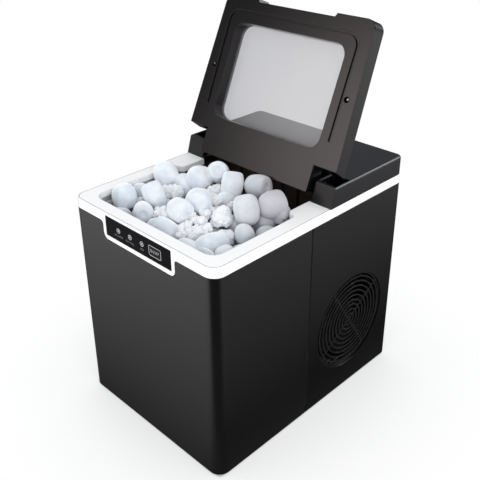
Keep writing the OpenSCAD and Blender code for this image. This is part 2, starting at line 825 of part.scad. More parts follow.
module indicator_lenses() color("#d8dde2") raise() for (i = [-1:1])
    translate([light_x + i * light_step, front + fit, light_z]) rotate([-90, 0, 0])
        cylinder(r = light_r, h = 4.5);

module power_button() color("#c9ccd0") raise() union() {
    slab_y(front, 3.4) translate([button_x, button_z])
        rrect(-button_w / 2, button_w / 2, -button_h / 2, button_h / 2, button_r);
    slab_y(front, board_y - 1.2 - button_travel - front) translate([button_x, button_z]) circle(2);
}

module control_board() color("#1f6b3a") raise() union() {
    slab_y(board_y, board_t)
        rrect(-board_hl, board_hl, button_z - board_h / 2, button_z + board_h / 2, 1.5);
    slab_y(board_y - 1, 1 + eps) translate([button_x - 3, button_z - 3]) square([6, 6]);
    for (i = [-1:1]) translate([light_x + i * light_step, board_y - 1.6, light_z]) rotate([-90, 0, 0])
        cylinder(r = 1.5, h = 2);
    for (x = [3 - board_hl, board_hl - 2]) translate([x, front + tab_t, button_z]) rotate([-90, 0, 0])
        cylinder(r = 1.8, h = board_y - front - tab_t + eps);
    slab_y(board_y + board_t - eps, 3) translate([-0.6 * board_hl, button_z - 4])
        square([board_h, 0.4 * board_h]);
}

module power_board() color("#24603a") raise() translate([-hw, power_y, power_z]) union() {
    slab_x(5, board_t) rrect(0, power_w, 0, power_h, 2);
    for (y = [5, power_w - 5], z = [5, power_h - 5]) translate([wall_t, y, z]) rotate([0, 90, 0])
        cylinder(r = 2.5, h = 5 - wall_t + eps);
    translate([4.9 + board_t, 8, 13]) cube([coil_d, coil_w, coil_h]);
    translate([4.9 + board_t, 12 + coil_w, 13]) cube([0.8 * coil_d, 0.6 * coil_w, 0.9 * coil_h]);
    translate([4.9 + board_t, power_w - 18, power_h - 21]) rotate([0, 90, 0])
        cylinder(r = 0.3 * coil_h, h = 0.9 * coil_d);
    translate([4.9 + board_t, 13, power_h - 26]) cube([0.55 * coil_d, 0.9 * coil_w, coil_h / 2]);
}

// ---- water and ice

module tank_liner() color("#c9cbcc") raise() union() {
    difference() {
        union() {
            translate([0, 0, tank_floor - tank_t]) linear_extrude(deck_under - tank_floor + tank_t)
                tank_plan(tank_t);
            translate([drain_x, drain_y, 0]) cylinder(r = drain_out, h = tank_floor - tank_t + eps);
            translate([spout_x, tank_y1 + tank_t - eps, spout_z]) rotate([-90, 0, 0])
                cylinder(r = hose_r - hose_wall - 0.02, h = spout_len);
        }
        translate([0, 0, tank_floor]) linear_extrude(deck_z) tank_plan(0);
        translate([-cham_hx - 0.6, tank_y1 - cut, cham_z])
            cube([2 * cham_hx + 1.2, tank_t + 2 * cut, deck_z]);
        translate([drain_x, drain_y, -cut]) cylinder(r = drain_r, h = tank_floor + 2 * cut);
        translate([spout_x, tank_y1 - cut, spout_z]) rotate([-90, 0, 0])
            cylinder(r = hose_r - hose_wall - 1.2, h = spout_len + 10);
    }
    both_sides() translate([open_w / 2 - 9, open_front + 25, basket_z - 5])
        cube([9 + tank_gap + eps, open_step - open_front - 47, 5]);
}

module insulation() color("#ece9e0") raise() difference() {
    translate([0, 0, pan_t]) linear_extrude(foam_top - pan_t) intersection() {
        case_plan(foam_in);
        before(foam_back);
    }
    translate([0, 0, tank_floor - tank_t]) linear_extrude(deck_z) tank_plan(tank_t + fit);
    translate([-cham_hx - cham_t - fit, tank_y1, cham_z - 3 - fit])
        cube([2 * (cham_hx + cham_t + fit), 40, deck_z]);
    translate([drain_x, drain_y, -cut]) cylinder(r = drain_out + fit, h = tank_floor);
    at_feet() cylinder(r = foot_stem_r + 1 + fit, h = pan_t + 2 + fit);
    translate([spout_x, tank_y1, spout_z]) rotate([-90, 0, 0]) cylinder(r = hose_r + 1, h = 40);
}

module basket_plan(g) plan4(open_w / 2 - basket_gap - g, open_front + basket_gap + g,
    open_step - basket_gap - g, basket_r - g, max(step_r - g, 1));

module ice_basket() color("#b9bcbf") raise() difference() {
    translate([0, 0, basket_z]) linear_extrude(basket_top - basket_z) basket_plan(0);
    translate([0, 0, basket_z + basket_t]) linear_extrude(basket_top) basket_plan(basket_t);
    translate([-neck_w / 2, open_step - basket_gap - basket_t - cut, basket_low])
        cube([neck_w, basket_t + 2 * cut, basket_top]);
    for (i = [-5:5], j = [-2:2])
        translate([0.079 * i * open_w, basket_mid + 0.145 * j * basket_d, basket_z - cut])
            cylinder(r = sieve_r, h = basket_t + 2 * cut, $fn = 24);
    for (i = [-2:2]) slab_x(-hw, body_w) translate([basket_mid + 0.137 * i * basket_d, 0])
        rrect(-slot_w / 2, slot_w / 2, basket_z + 14, basket_z + 14 + slot_l, 0.48 * slot_w);
    for (i = [-4:4]) slab_y(open_front, 20) translate([0.094 * i * open_w, 0])
        rrect(-slot_w / 2, slot_w / 2, basket_z + 14, basket_z + 14 + slot_l, 0.48 * slot_w);
    slab_x(-hw, body_w) translate([basket_mid, 0])
        rrect(-0.15 * basket_d, 0.15 * basket_d, basket_top - 26, basket_top - 12, 6);
}

module ice_chamber() color("#241c18") raise() difference() {
    translate([-cham_hx - cham_t, cham_front, cham_z - 3])
        cube([2 * (cham_hx + cham_t), cham_back + cham_t - cham_front, deck_under - cham_z + 3]);
    slab_x(-cham_hx, 2 * cham_hx) polygon([[cham_front - cut, cham_z], [slat_y, cham_slope],
        [slat_y, deck_z], [cham_front - cut, deck_z]]);
    for (i = [0:slats])
        translate([(i - slats / 2) * slat_step - (slat_step - slat_w) / 2, slat_y - cut, tray_z])
            cube([slat_step - slat_w, slat_t + cut, groove_top - tray_z]);
    translate([-cham_hx, slat_y - cut, groove_top + 2 - fit]) cube([2 * cham_hx, slat_t + cut, lip_h]);
    slab_x(-hw, body_w) polygon([[cham_front + 4, cham_z - 3 - eps],
        [cham_back + 2 * cham_t, cham_z - 3 - eps], [cham_back + 2 * cham_t, cham_z - 3 + cham_rise]]);
    slab_x(-hw, body_w) union() {
        translate([tray_y, tray_z]) circle(tray_pin + run_fit);
        translate([shovel_y, shovel_z]) circle(shovel_pin + run_fit);
    }
    for (s = [-1, 1]) translate([s * evap_x, slat_y - cut, evap_z]) rotate([-90, 0, 0])
        cylinder(r = evap_r + fit, h = 10);
    translate([hose_x, slat_y - cut, hose_top]) rotate([-90, 0, 0])
        cylinder(r = hose_r + fit, h = 10);
}

module evaporator() color("#c8cdd2") raise() union() {
    tube([[-evap_x, pipe_end, evap_z], [-evap_x, tray_y, evap_z], [evap_x, tray_y, evap_z],
        [evap_x, pipe_end, evap_z]], evap_r, evap_bend);
    for (i = [0:fingers - 1])
        translate([(i - (fingers - 1) / 2) * finger_step, tray_y, evap_z])
            rotate([180, 0, 0]) rotate_extrude() edge_profile(finger_r, finger_l, 0.48 * finger_r);
}

module water_tray() color("#8d9296") raise() union() {
    slab_x(-tray_hl, 2 * tray_hl) translate([tray_y, tray_z]) difference() {
        circle(tray_out);
        circle(tray_r);
        translate([-2 * tray_r, 0]) square([4 * tray_r, 2 * tray_r]);
    }
    both_sides() slab_x(tray_hl - tray_t, tray_t) translate([tray_y, tray_z]) union() {
        difference() {
            circle(tray_out);
            translate([-2 * tray_r, 0]) square([4 * tray_r, 2 * tray_r]);
        }
        circle(tray_pin + 3);
    }
    both_sides() slab_x(tray_hl - eps, stub_end - tray_hl) translate([tray_y, tray_z])
        circle(tray_pin);
}

module tray_motor() color("#3d3f42") raise() difference() {
    union() {
        slab_x(-cham_hx - cham_t - tray_motor_l, tray_motor_l - 2 + eps) translate([tray_y, tray_z])
            circle(tray_motor_r);
        slab_x(-cham_hx - cham_t - 2, 2) translate([tray_y, tray_z]) union() {
            circle(tray_motor_r + 1);
            rrect(-tray_motor_r - 8, tray_motor_r + 8, -tray_motor_r / 3, tray_motor_r / 3, 5);
        }
    }
    slab_x(-stub_end - 1, 20) translate([tray_y, tray_z]) circle(tray_pin + run_fit);
}

module ice_shovel() color("#2a2320") raise() union() {
    slab_x(-cham_hx - cham_t - 1, 2 * (cham_hx + cham_t + 1)) translate([shovel_y, shovel_z])
        circle(shovel_pin);
    slab_y(shovel_y - shovel_t / 2, shovel_t) translate([2 - cham_hx, shovel_z - shovel_l + 6])
        square([2 * (cham_hx - 2), shovel_l - 6]);
    for (i = [-3.5:3.5]) translate([i * rib_step - rib_t / 2, shovel_y - 5, shovel_z - shovel_l])
        cube([rib_t, 5 + shovel_t / 2, shovel_l - 6]);
}

module ice_sensors() color("#101013") raise() both_sides()
    slab_x(cham_hx - 0.3 * sensor_h, 0.3 * sensor_h) translate([shovel_y + 15, sensor_z])
        rrect(-sensor_h / 2, sensor_h / 2, -sensor_h / 2, sensor_h / 2, 0.2 * sensor_h);

module drain_plug() color("#e8e8e8") raise() difference() {
    translate([drain_x, drain_y, -plug_head - 0.3]) union() {
        cylinder(r = plug_r, h = plug_head);
        cylinder(r = drain_r - run_fit, h = plug_head + plug_l);
    }
    translate([drain_x - 7, drain_y - 1.1, -plug_head - 0.3 - cut]) cube([14, 2.2, 1.6 + cut]);
}

module water_pump() color("#33363a") raise() union() {
    translate([pump_x, pump_y, pump_z]) rotate_extrude() edge_profile(pump_r, pump_h, 3);
    translate([pump_x, pump_y, pump_z - 10]) cylinder(r = pump_r - 3, h = 10 + eps);
    translate([pump_x - pump_foot / 2, pump_y - pump_foot / 5, pan_t])
        cube([pump_foot, 0.4 * pump_foot, 2]);
    translate([pump_x - 3, pump_y - pump_foot / 5, pan_t])
        cube([6, 0.4 * pump_foot, pump_z - 10 - pan_t + eps]);
}

module hose_run(r) tube([[hose_x, pump_y + 0.3 * pump_r, hose_low], [hose_x, hose_y, hose_low],
    [hose_x, hose_y, hose_top], [hose_x, cham_back - 2 * hose_r, hose_top]], r, hose_bend);

module water_hose() color("#d7dde0") raise() difference() {
    union() {
        bar([spout_x, tank_y1 + tank_t + 4, spout_z], [spout_x, pump_y - pump_r + cut, spout_z], hose_r);
        hose_run(hose_r);
    }
    bar([spout_x, tank_y1 - 9, spout_z], [spout_x, pump_y, spout_z], hose_r - hose_wall);
    hose_run(hose_r - hose_wall);
    translate([pump_x, pump_y, pump_z - cut]) cylinder(r = pump_r + 0.02, h = pump_h + 2 * cut);
}

// ---- cooling machine

module compressor() color("#1c1c1f") raise() union() {
    translate([comp_x, comp_y, comp_z + plate_t]) rotate_extrude() union() {
        square([comp_r - comp_round, comp_h]);
        translate([0, comp_round]) square([comp_r, comp_h - 2 * comp_round]);
        intersection() {
            translate([comp_r - comp_round, comp_round]) circle(comp_round);
            square([comp_r, comp_h]);
        }
        translate([comp_r - comp_round, comp_h - comp_round]) circle(comp_round);
        translate([0, comp_h / 2]) square([comp_r + 2, 3]);
    }
    difference() {
        translate([comp_x - plate_h, comp_y - plate_h, comp_z])
            cube([2 * plate_h, 2 * plate_h, plate_t]);
        at_grommets() translate([0, 0, comp_z - cut])
            cylinder(r = grommet_r - 1.5, h = plate_t + 2 * cut);
    }
    translate([comp_x - 0.28 * comp_r, comp_y - comp_r - 5, comp_z + 0.44 * comp_h])
        cube([0.56 * comp_r, 12, comp_h / 4]);
}

module compressor_grommets() color("#151515") raise() at_grommets() difference() {
    union() {
        translate([0, 0, pan_t]) cylinder(r = grommet_r, h = comp_z - pan_t);
        translate([0, 0, comp_z - eps]) cylinder(r = grommet_r - 1.52, h = plate_t + 2 * eps);
        translate([0, 0, comp_z + plate_t]) cylinder(r = grommet_r, h = 2.5);
    }
    translate([0, 0, pan_t - cut]) cylinder(r = post_r + 0.05, h = 20);
}

module condenser() color("#b6bbc0") raise() union() {
    for (i = [0:fins - 1]) translate([cond_x, fan_y - cond_hl + i * 2 * cond_hl / (fins - 1) - fin_t / 2,
        fan_z - cond_hh]) cube([cond_t, fin_t, 2 * cond_hh]);
    for (x = [cond_row, cond_t - cond_row], i = [-1.5:1.5])
        translate([cond_x + x, fan_y - cond_hl - 4, fan_z + i * cond_step])
            rotate([-90, 0, 0]) cylinder(r = pipe_r, h = 2 * cond_hl + 8);
    for (i = [-1.5:1.5]) translate([cond_x + cond_t / 2, fan_y - cond_hl - 4, fan_z + i * cond_step])
        rotate([180, 0, 0]) rotate_extrude(angle = 180) translate([cond_t / 2 - cond_row, 0])
            circle(pipe_r);
}

module filter_dryer() color("#b87333") raise() translate([dryer_x, dryer_y, dryer_z]) rotate_extrude()
    union() {
        translate([0, 0.75 * dryer_r]) square([dryer_r, dryer_l - 1.5 * dryer_r]);
        translate([0, 0.38 * dryer_r]) square([0.75 * dryer_r, dryer_l - 0.76 * dryer_r]);
        square([dryer_r / 2, dryer_l]);
    }

module copper_tubes() color("#b87333") raise() union() {
    cond_end = fan_y + cond_hl + 4;
    high = fan_z + 1.5 * cond_step;
    low = fan_z - 1.5 * cond_step;
    out_x = comp_x + 0.29 * comp_r;
    out_y = comp_y + comp_r / 3;
    in_x = comp_x + 0.19 * comp_r;
    tube([[out_x, out_y, comp_top], [out_x, out_y, loop_z], [out_x, loop_y, loop_z],
        [cond_in, loop_y, loop_z], [cond_in, loop_y, high], [cond_in, cond_end, high]],
        pipe_r - 0.5, pipe_bend);
    tube([[cond_in, cond_end, low], [cond_in, dryer_y, low], [dryer_x, dryer_y, low],
        [dryer_x, dryer_y, dryer_z]], pipe_r - 0.5, pipe_bend);
    tube([[dryer_x, dryer_y, dryer_z + dryer_l], [dryer_x, dryer_y, pass_z], [dryer_x, pass_y, pass_z],
        [evap_x, pass_y, pass_z], [evap_x, pass_y, evap_z], [evap_x, pipe_end, evap_z]],
        pipe_r - 1, pipe_bend);
    tube([[-evap_x, pipe_end, evap_z], [-evap_x, return_y, evap_z], [-evap_x, return_y, loop_z],
        [in_x, return_y, loop_z], [in_x, return_y, comp_top]], pipe_r - 0.5, pipe_bend);
}

module fan_motor() color("#6d7074") raise() difference() {
    slab_x(duct_x0 + 4, duct_x1 - duct_x0 - 4) translate([fan_y, fan_z]) circle(motor_r);
    slab_x(duct_x1 - 12, 20) translate([fan_y, fan_z]) circle(2.5 + run_fit);
}

module fan_blades() color("#3a3d42") raise() at_fan(0) union() {
    translate([0, 0, duct_x1 - 10]) cylinder(r = 2.5, h = 14);
    translate([0, 0, hub_x]) cylinder(r = hub_r, h = hub_len);
    intersection() {
        translate([0, 0, hub_x]) cylinder(r = fan_r, h = hub_len);
        union() for (i = [0:blades - 1]) rotate(i * 360 / blades)
            translate([hub_r - 3, 0, hub_x + hub_len / 2]) rotate([blade_pitch, 0, 0])
                translate([0, -0.3 * fan_r, -0.9]) cube([fan_r, 0.6 * fan_r, 1.8]);
    }
}

module fan_shroud() color("#2c2e31") raise() union() {
    slab_x(duct_x0, duct_x1 - duct_x0) translate([fan_y, fan_z]) difference() {
        square(2 * duct_h, center = true);
        square(2 * duct_h - 4, center = true);
    }
    slab_x(duct_x1 - eps, 2) translate([fan_y, fan_z]) difference() {
        square(2 * duct_h, center = true);
        circle(shroud_r);
    }
    slab_x(duct_x1, hw - 7 - duct_x1) translate([fan_y, fan_z]) difference() {
        circle(shroud_r + 2);
        circle(shroud_r);
    }
    slab_x(duct_x0 + 6, 3) translate([fan_y, fan_z]) difference() {
        union() {
            circle(motor_r + 3 + fit);
            for (a = [45, 135]) rotate(a) square([2.8 * duct_h, 7], center = true);
        }
        circle(motor_r + 0.05);
        difference() {
            square(4 * duct_h, center = true);
            square(2 * duct_h - 1, center = true);
        }
    }
    for (y = [-0.85 * duct_h, 0.71 * duct_h]) translate([duct_x0, fan_y + y, pan_t])
        cube([14, 8, fan_z - duct_h - pan_t + 1]);
}

// ---- lid, drawn shut with its length towards -Y, then turned open about its pins

module lid_place() raise() translate([0, hinge_y, deck_z + hinge_up]) rotate([-lid_open, 0, 0])
    translate([0, lid_back - hinge_y, lid_z - deck_z - hinge_up]) children();

// outline of the lid without its hinge block: sides that draw in, and rounded front corners
module lid_outline() {
    slant = sqrt(1 + taper * taper);
    cx = lid_hw - taper * (lid_l - lid_r) - lid_r * slant;
    tx = cx + lid_r / slant;
    ty = lid_r - lid_l - lid_r * taper / slant;
    union() {
        polygon([[lid_hw + taper * 8, 8], [tx, ty], [cx, -lid_l], [-cx, -lid_l], [-tx, ty],
            [-lid_hw - taper * 8, 8]]);
        for (s = [-1, 1]) translate([s * cx, lid_r - lid_l]) circle(lid_r);
    }
}

// plan of the hollow inside the lid, with its front corners cut off
module lid_void_plan() {
    x0 = lid_hw - lid_wall - taper * 3;
    s1 = lid_l - notch_in - lid_wall;
    x1 = lid_hw - lid_wall - taper * s1;
    polygon([[x0, -3], [x1, 4 - s1], [x1 - 4, -s1], [4 - x1, -s1], [-x1, 4 - s1], [-x0, -3]]);
    translate([3 - block_hw, -10]) square([2 * block_hw - 6, block_l + 7]);
}

module lid_full_plan() difference() {
    union() {
        lid_outline();
        translate([-block_hw, -10]) square([2 * block_hw, block_l + 10]);
    }
    polygon([[-notch_hw - notch_slant, -lid_l - cut], [-notch_hw, notch_in - lid_l],
        [notch_hw, notch_in - lid_l], [notch_hw + notch_slant, -lid_l - cut]]);
}

module window_plan(g) rrect(-win_hw - g, win_hw + g, -win_s1 - g, -win_s0 + g, win_r + g);

// takes off what lies behind the sloping rear ends of the lid
module ear_cut() both_sides() slab_x(block_hw, hw) polygon([[-lid_slope * cut, -cut],
    [lid_slope * (lid_t + cut), lid_t + cut], [20, lid_t + cut], [20, -cut]]);

module lid_frame() color("#232326") lid_place() difference() {
    union() {
        difference() {
            translate([0, 0, liner_t]) linear_extrude(lid_t - liner_t) lid_full_plan();
            translate([0, 0, liner_t - cut]) linear_extrude(lid_t - lid_wall - liner_t + cut)
                lid_void_plan();
        }
        both_sides() translate([screw_x, -screw_s, liner_t]) cylinder(r = head_r, h = lid_t - liner_t - 1);
        slab_x(-block_hw, 2 * block_hw) translate([hinge_y - lid_back, deck_z + hinge_up - lid_z])
            circle(barrel_r);
    }
    ear_cut();
    translate([0, 0, lid_t - lid_wall - cut]) linear_extrude(lid_wall + 2 * cut) window_plan(0);
    both_sides() translate([screw_x, -screw_s, 0]) cylinder(r = screw_r, h = 12);
    slab_x(-hw, body_w) translate([hinge_y - lid_back, deck_z + hinge_up - lid_z]) circle(hinge_r);
}

module lid_liner() color("#26262a") lid_place() difference() {
    union() {
        linear_extrude(liner_t) lid_full_plan();
        linear_extrude(pane_n) window_plan(2);
    }
    ear_cut();
    translate([0, 0, -cut]) linear_extrude(lid_t) window_plan(0);
    translate([0, 0, -cut]) linear_extrude(groove_in + cut) difference() {
        rrect(-groove_x - groove_w / 2, groove_x + groove_w / 2, -groove_s - groove_w, 40, 14);
        rrect(-groove_x + groove_w / 2, groove_x - groove_w / 2, -groove_s, 40, 13);
        behind(-28);
    }
    both_sides() translate([screw_x, -screw_s, -cut]) {
        cylinder(r = lid_head_r + fit, h = lid_sunk + head_t + cut);
        cylinder(r = screw_r + fit, h = 6);
    }
}

module lid_window() color("#dfe6e8", 0.35) lid_place() translate([0, 0, pane_n]) linear_extrude(pane_t)
    window_plan(3.5);

module lid_screws() color("#3a3a3c") lid_place() both_sides() translate([screw_x, -screw_s, lid_sunk])
    screw(11, lid_head_r);

module hinge_pins() color("#b9bcbf") lid_place() both_sides()
    slab_x(block_hw - 6, ear_gap + wall_t + 4 - block_hw + 6)
        translate([hinge_y - lid_back, deck_z + hinge_up - lid_z]) circle(hinge_r);

// ---- rear fittings

module cord_gland() color("#141414") raise() difference() {
    union() {
        slab_y(back - wall_t - 6, wall_t + 6) translate([gland_x, gland_z]) circle(gland_r);
        slab_y(back - wall_t - 3, 3) translate([gland_x, gland_z]) circle(gland_r + 3);
    }
    slab_y(back - wall_t - 10, wall_t + 20) translate([gland_x, gland_z]) circle(gland_bore);
}

module case_screws() color("#2b2b2d") raise() at_back_screws() translate([0, 0, 0.05]) screw(11, head_r);

base_pan();
feet();
front_shell();
rear_shell();
fan_grille();
top_frame();
control_panel();
indicator_lenses();
power_button();
control_board();
power_board();
tank_liner();
insulation();
ice_basket();
ice_chamber();
evaporator();
water_tray();
tray_motor();
ice_shovel();
ice_sensors();
water_pump();
water_hose();
compressor();
compressor_grommets();
condenser();
filter_dryer();
copper_tubes();
fan_motor();
fan_blades();
fan_shroud();
rear_cover();
lid_frame();
lid_liner();
lid_window();
lid_screws();
hinge_pins();
drain_plug();
cord_gland();
case_screws();
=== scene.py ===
import json
import math

import bpy
import numpy as np
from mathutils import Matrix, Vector


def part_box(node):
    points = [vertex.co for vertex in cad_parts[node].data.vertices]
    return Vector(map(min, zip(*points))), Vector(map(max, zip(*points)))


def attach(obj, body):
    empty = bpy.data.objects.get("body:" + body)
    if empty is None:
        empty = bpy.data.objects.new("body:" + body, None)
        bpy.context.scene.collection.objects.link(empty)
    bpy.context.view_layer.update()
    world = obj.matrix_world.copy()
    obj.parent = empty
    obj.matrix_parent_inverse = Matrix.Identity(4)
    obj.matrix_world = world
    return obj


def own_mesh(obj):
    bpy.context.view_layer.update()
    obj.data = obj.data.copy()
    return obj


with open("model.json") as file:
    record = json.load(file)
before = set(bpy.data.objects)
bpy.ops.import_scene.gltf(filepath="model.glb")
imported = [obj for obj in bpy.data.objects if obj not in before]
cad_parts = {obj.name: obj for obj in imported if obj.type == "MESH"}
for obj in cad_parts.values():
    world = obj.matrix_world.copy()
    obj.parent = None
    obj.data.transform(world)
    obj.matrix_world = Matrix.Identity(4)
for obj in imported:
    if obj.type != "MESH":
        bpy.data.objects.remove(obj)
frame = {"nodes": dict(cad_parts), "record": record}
scene = bpy.context.scene
nodes = frame["nodes"]
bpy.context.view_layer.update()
rng = np.random.default_rng(7)
mm = 0.001
basketLow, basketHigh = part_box("ice_basket")
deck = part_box("top_frame")[1].z


# rows and columns of points joined into quads; wrap joins the last row or column to the first
def gridFaces(rows, cols, wrapRows=False, wrapCols=False):
    i = np.arange(rows if wrapRows else rows - 1)[:, None]
    j = np.arange(cols if wrapCols else cols - 1)[None, :]
    a, b = i * cols + j, i * cols + (j + 1) % cols
    c, d = ((i + 1) % rows) * cols + (j + 1) % cols, ((i + 1) % rows) * cols + j
    return np.stack([a, b, c, d], -1).reshape(-1, 4)


# several (points, faces) pairs as one pair, each pair's faces moved on by the points before it
def joined(parts):
    starts = np.cumsum([0] + [len(p) for p, _ in parts[:-1]])
    return np.concatenate([p for p, _ in parts]), np.concatenate([f + s for (_, f), s in zip(parts, starts)])


# a mesh object from points and faces, with its material, linked into the scene
def makeMesh(name, points, faces, material, smooth=True):
    mesh = bpy.data.meshes.new(name)
    mesh.from_pydata(points.reshape(-1, 3).tolist(), [], faces.tolist())
    mesh.update()
    mesh.polygons.foreach_set("use_smooth", np.full(len(mesh.polygons), smooth))
    mesh.materials.append(material)
    obj = bpy.data.objects.new(name, mesh)
    scene.collection.objects.link(obj)
    return obj


# a profile curve turned about Z: at angle a, a point (r, z) goes to (r cos a, r sin a, z)
def revolve(profile, around):
    a = np.linspace(0, 2 * np.pi, around, endpoint=False)
    r, z = profile[:, :1], profile[:, 1:]
    points = np.stack([r * np.cos(a), r * np.sin(a), np.broadcast_to(z, (len(z), around))], -1)
    return points.reshape(-1, 3), gridFaces(len(profile), around, wrapCols=True)


# a flat ribbon of width w along a 2D path, t thick: the path moved half the width to each side, on two levels
def ribbon(path, w, t, closed=False):
    path = np.asarray(path, float)
    ahead = np.roll(path, -1, 0) - path if closed else np.gradient(path, axis=0)
    back = path - np.roll(path, 1, 0) if closed else ahead
    along = ahead / np.linalg.norm(ahead, axis=1)[:, None] + back / np.linalg.norm(back, axis=1)[:, None]
    along /= np.linalg.norm(along, axis=1)[:, None]
    side = np.stack([-along[:, 1], along[:, 0]], -1) * w / 2
    low, high = np.zeros((len(path), 1)), np.full((len(path), 1), t)
    ring = [np.hstack([path - side, low]), np.hstack([path + side, low]),
            np.hstack([path + side, high]), np.hstack([path - side, high])]
    points = np.stack(ring, 1)
    faces = gridFaces(len(path), 4, wrapRows=closed, wrapCols=True)[:, ::-1]
    if not closed:
        n = len(path) * 4
        faces = np.vstack([faces, [[0, 1, 2, 3]], [[n - 1, n - 2, n - 3, n - 4]]])
    return points.reshape(-1, 3), faces


# points of a circle of radius r about (x, z), from angle a0 to a1 in degrees
def arc(x, z, r, a0, a1, n=20):
    a = np.radians(np.linspace(a0, a1, n))
    return np.stack([x + r * np.cos(a), z + r * np.sin(a)], -1)


# outline of a w by h box with round corners: four quarter circles about the corners' centres
def roundedBox(w, h, r, n=8):
    x, z = w / 2 - r, h / 2 - r
    corners = [(x, z, 0), (-x, z, 90), (-x, -z, 180), (x, -z, 270)]
    return np.concatenate([arc(x, z, r, a, a + 90, n) for x, z, a in corners])


print("meshes: helpers ready")


# a material and its tree and main shader
def newMaterial(name):
    mat = bpy.data.materials.new(name)
    mat.use_nodes = True
    tree = mat.node_tree
    return mat, tree, tree.nodes["Principled BSDF"]


# one link, from an output to an input
def link(tree, a, b):
    tree.links.new(a, b)


# a value or a socket put into a socket; a colour given by three numbers is made opaque
def feed(tree, value, socket):
    if isinstance(value, bpy.types.NodeSocket):
        link(tree, value, socket)
    elif isinstance(value, (list, tuple)) and len(value) < len(socket.default_value):
        socket.default_value = (*value, 1)
    else:
        socket.default_value = value


# one Math node of two values
def combine(tree, kind, a, b=0.0):
    node = tree.nodes.new("ShaderNodeMath")
    node.operation = kind
    feed(tree, a, node.inputs[0])
    feed(tree, b, node.inputs[1])
    return node.outputs[0]


# one Vector Math node of two vectors
def vectorStep(tree, kind, a, b=(0, 0, 0)):
    node = tree.nodes.new("ShaderNodeVectorMath")
    node.operation = kind
    feed(tree, a, node.inputs[0])
    feed(tree, b, node.inputs[1])
    return node.outputs["Value" if kind in ("LENGTH", "DOT_PRODUCT") else "Vector"]


# a value carried from the span (from, to) to the span (at from, at to), and held beyond its ends
def ramp(tree, value, ends, kind="LINEAR"):
    node = tree.nodes.new("ShaderNodeMapRange")
    node.interpolation_type = kind
    feed(tree, value, node.inputs["Value"])
    for key, end in zip(("From Min", "From Max", "To Min", "To Max"), ends):
        node.inputs[key].default_value = end
    return node.outputs["Result"]


# a colour or a number moved from a to b by a share
def mixed(tree, share, a, b, kind="RGBA"):
    node = tree.nodes.new("ShaderNodeMix")
    node.data_type = kind
    feed(tree, share, node.inputs["Factor"])
    feed(tree, a, node.inputs["A"])
    feed(tree, b, node.inputs["B"])
    return node.outputs["Result"]


# a shader moved from a to b by a share
def mixedShader(tree, share, a, b):
    node = tree.nodes.new("ShaderNodeMixShader")
    for k, socket in enumerate((share, a, b)):
        link(tree, socket, node.inputs[k])
    return node.outputs[0]


# the piece's own coordinates, as a vector and as X, Y and Z
def places(tree):
    co, xyz = tree.nodes.new("ShaderNodeTexCoord"), tree.nodes.new("ShaderNodeSeparateXYZ")
    link(tree, co.outputs["Object"], xyz.inputs[0])
    return co.outputs["Object"], *xyz.outputs


# noise of a scale and detail on a vector
def noise(tree, at, scale, detail):
    node = tree.nodes.new("ShaderNodeTexNoise")
    link(tree, at, node.inputs["Vector"])
    feed(tree, scale, node.inputs["Scale"])
    node.inputs["Detail"].default_value = detail
    return node.outputs["Fac"]


# a normal tilted by a height, on the plain normal or on the one given
def bumped(tree, height, strength, distance, normal=None):
    node = tree.nodes.new("ShaderNodeBump")
    link(tree, height, node.inputs["Height"])
    feed(tree, strength, node.inputs["Strength"])
    node.inputs["Distance"].default_value = distance
    if normal:
        link(tree, normal, node.inputs["Normal"])
    return node.outputs["Normal"]


# an empty group with its inputs and outputs, given as names and kinds
def newGroup(name, inputs, outputs):
    g = bpy.data.node_groups.new(name, "ShaderNodeTree")
    for way, sockets in (("INPUT", inputs), ("OUTPUT", outputs)):
        for label, kind in sockets.items():
            g.interface.new_socket(label, in_out=way, socket_type="NodeSocket" + kind)
    return g, g.nodes.new("NodeGroupInput"), g.nodes.new("NodeGroupOutput")


# a group placed in a tree, each input fed with a value or a socket
def placed(tree, group, **values):
    node = tree.nodes.new("ShaderNodeGroup")
    node.node_tree = group
    for name, value in values.items():
        feed(tree, value, node.inputs[name])
    return node.outputs


mouldSurface = {
    "samples": 4,                       # of the softened edge
    "height": 0.2 * mm,                 # of the fine noise
    "mottle": 14,                       # scale of the wide noise
    "wear and highlight": (0.995, 0.9, 0, 1),         # from where the softened normal is about the flat one to a fully pale edge, part wear and part painted highlight
}


# group: grain of moulded plastic. Fine noise is the height, wide noise the mottle, and a softened edge is
# where the rounded normal leaves the flat one, which also gives the pale edge: part wear, part painted
# highlight
def grainGroup():
    g, given, out = newGroup("mouldGrain", {"Scale": "Float", "Strength": "Float", "Edge": "Float"},
                             {"Normal": "Vector", "Mottle": "Float", "WearAndHighlight": "Float"})
    at = places(g)[0]
    bevel, flat = g.nodes.new("ShaderNodeBevel"), g.nodes.new("ShaderNodeNewGeometry").outputs["Normal"]
    bevel.samples = mouldSurface["samples"]
    link(g, given.outputs["Edge"], bevel.inputs["Radius"])
    soft = bevel.outputs["Normal"]
    fine = noise(g, at, given.outputs["Scale"], 2)
    link(g, bumped(g, fine, given.outputs["Strength"], mouldSurface["height"], soft), out.inputs["Normal"])
    link(g, noise(g, at, mouldSurface["mottle"], 4), out.inputs["Mottle"])
    link(g, ramp(g, vectorStep(g, "DOT_PRODUCT", flat, soft), mouldSurface["wear and highlight"]), out.inputs["WearAndHighlight"])
    return g


lines = {
    "fade": (0.8 * mm, 1.5 * mm, 1, 0),  # the distances between which a line fades away
    "black": (0.0005, 0.0005, 0.0005),
    "corner": 14 * mm,                  # radius of the top frame's corners
    "inset": 1.85 * mm,                 # the deck's groove lies this far inside the frame
    "narrow": 3,                        # the groove's line is this many times narrower than the others
    "head": 2.3 * mm,                   # a screw's axis lies this far inside the two screws' box
    "rim": 2.5 * mm,                    # radius outside which its rim is painted dark, as shade in its recess
}
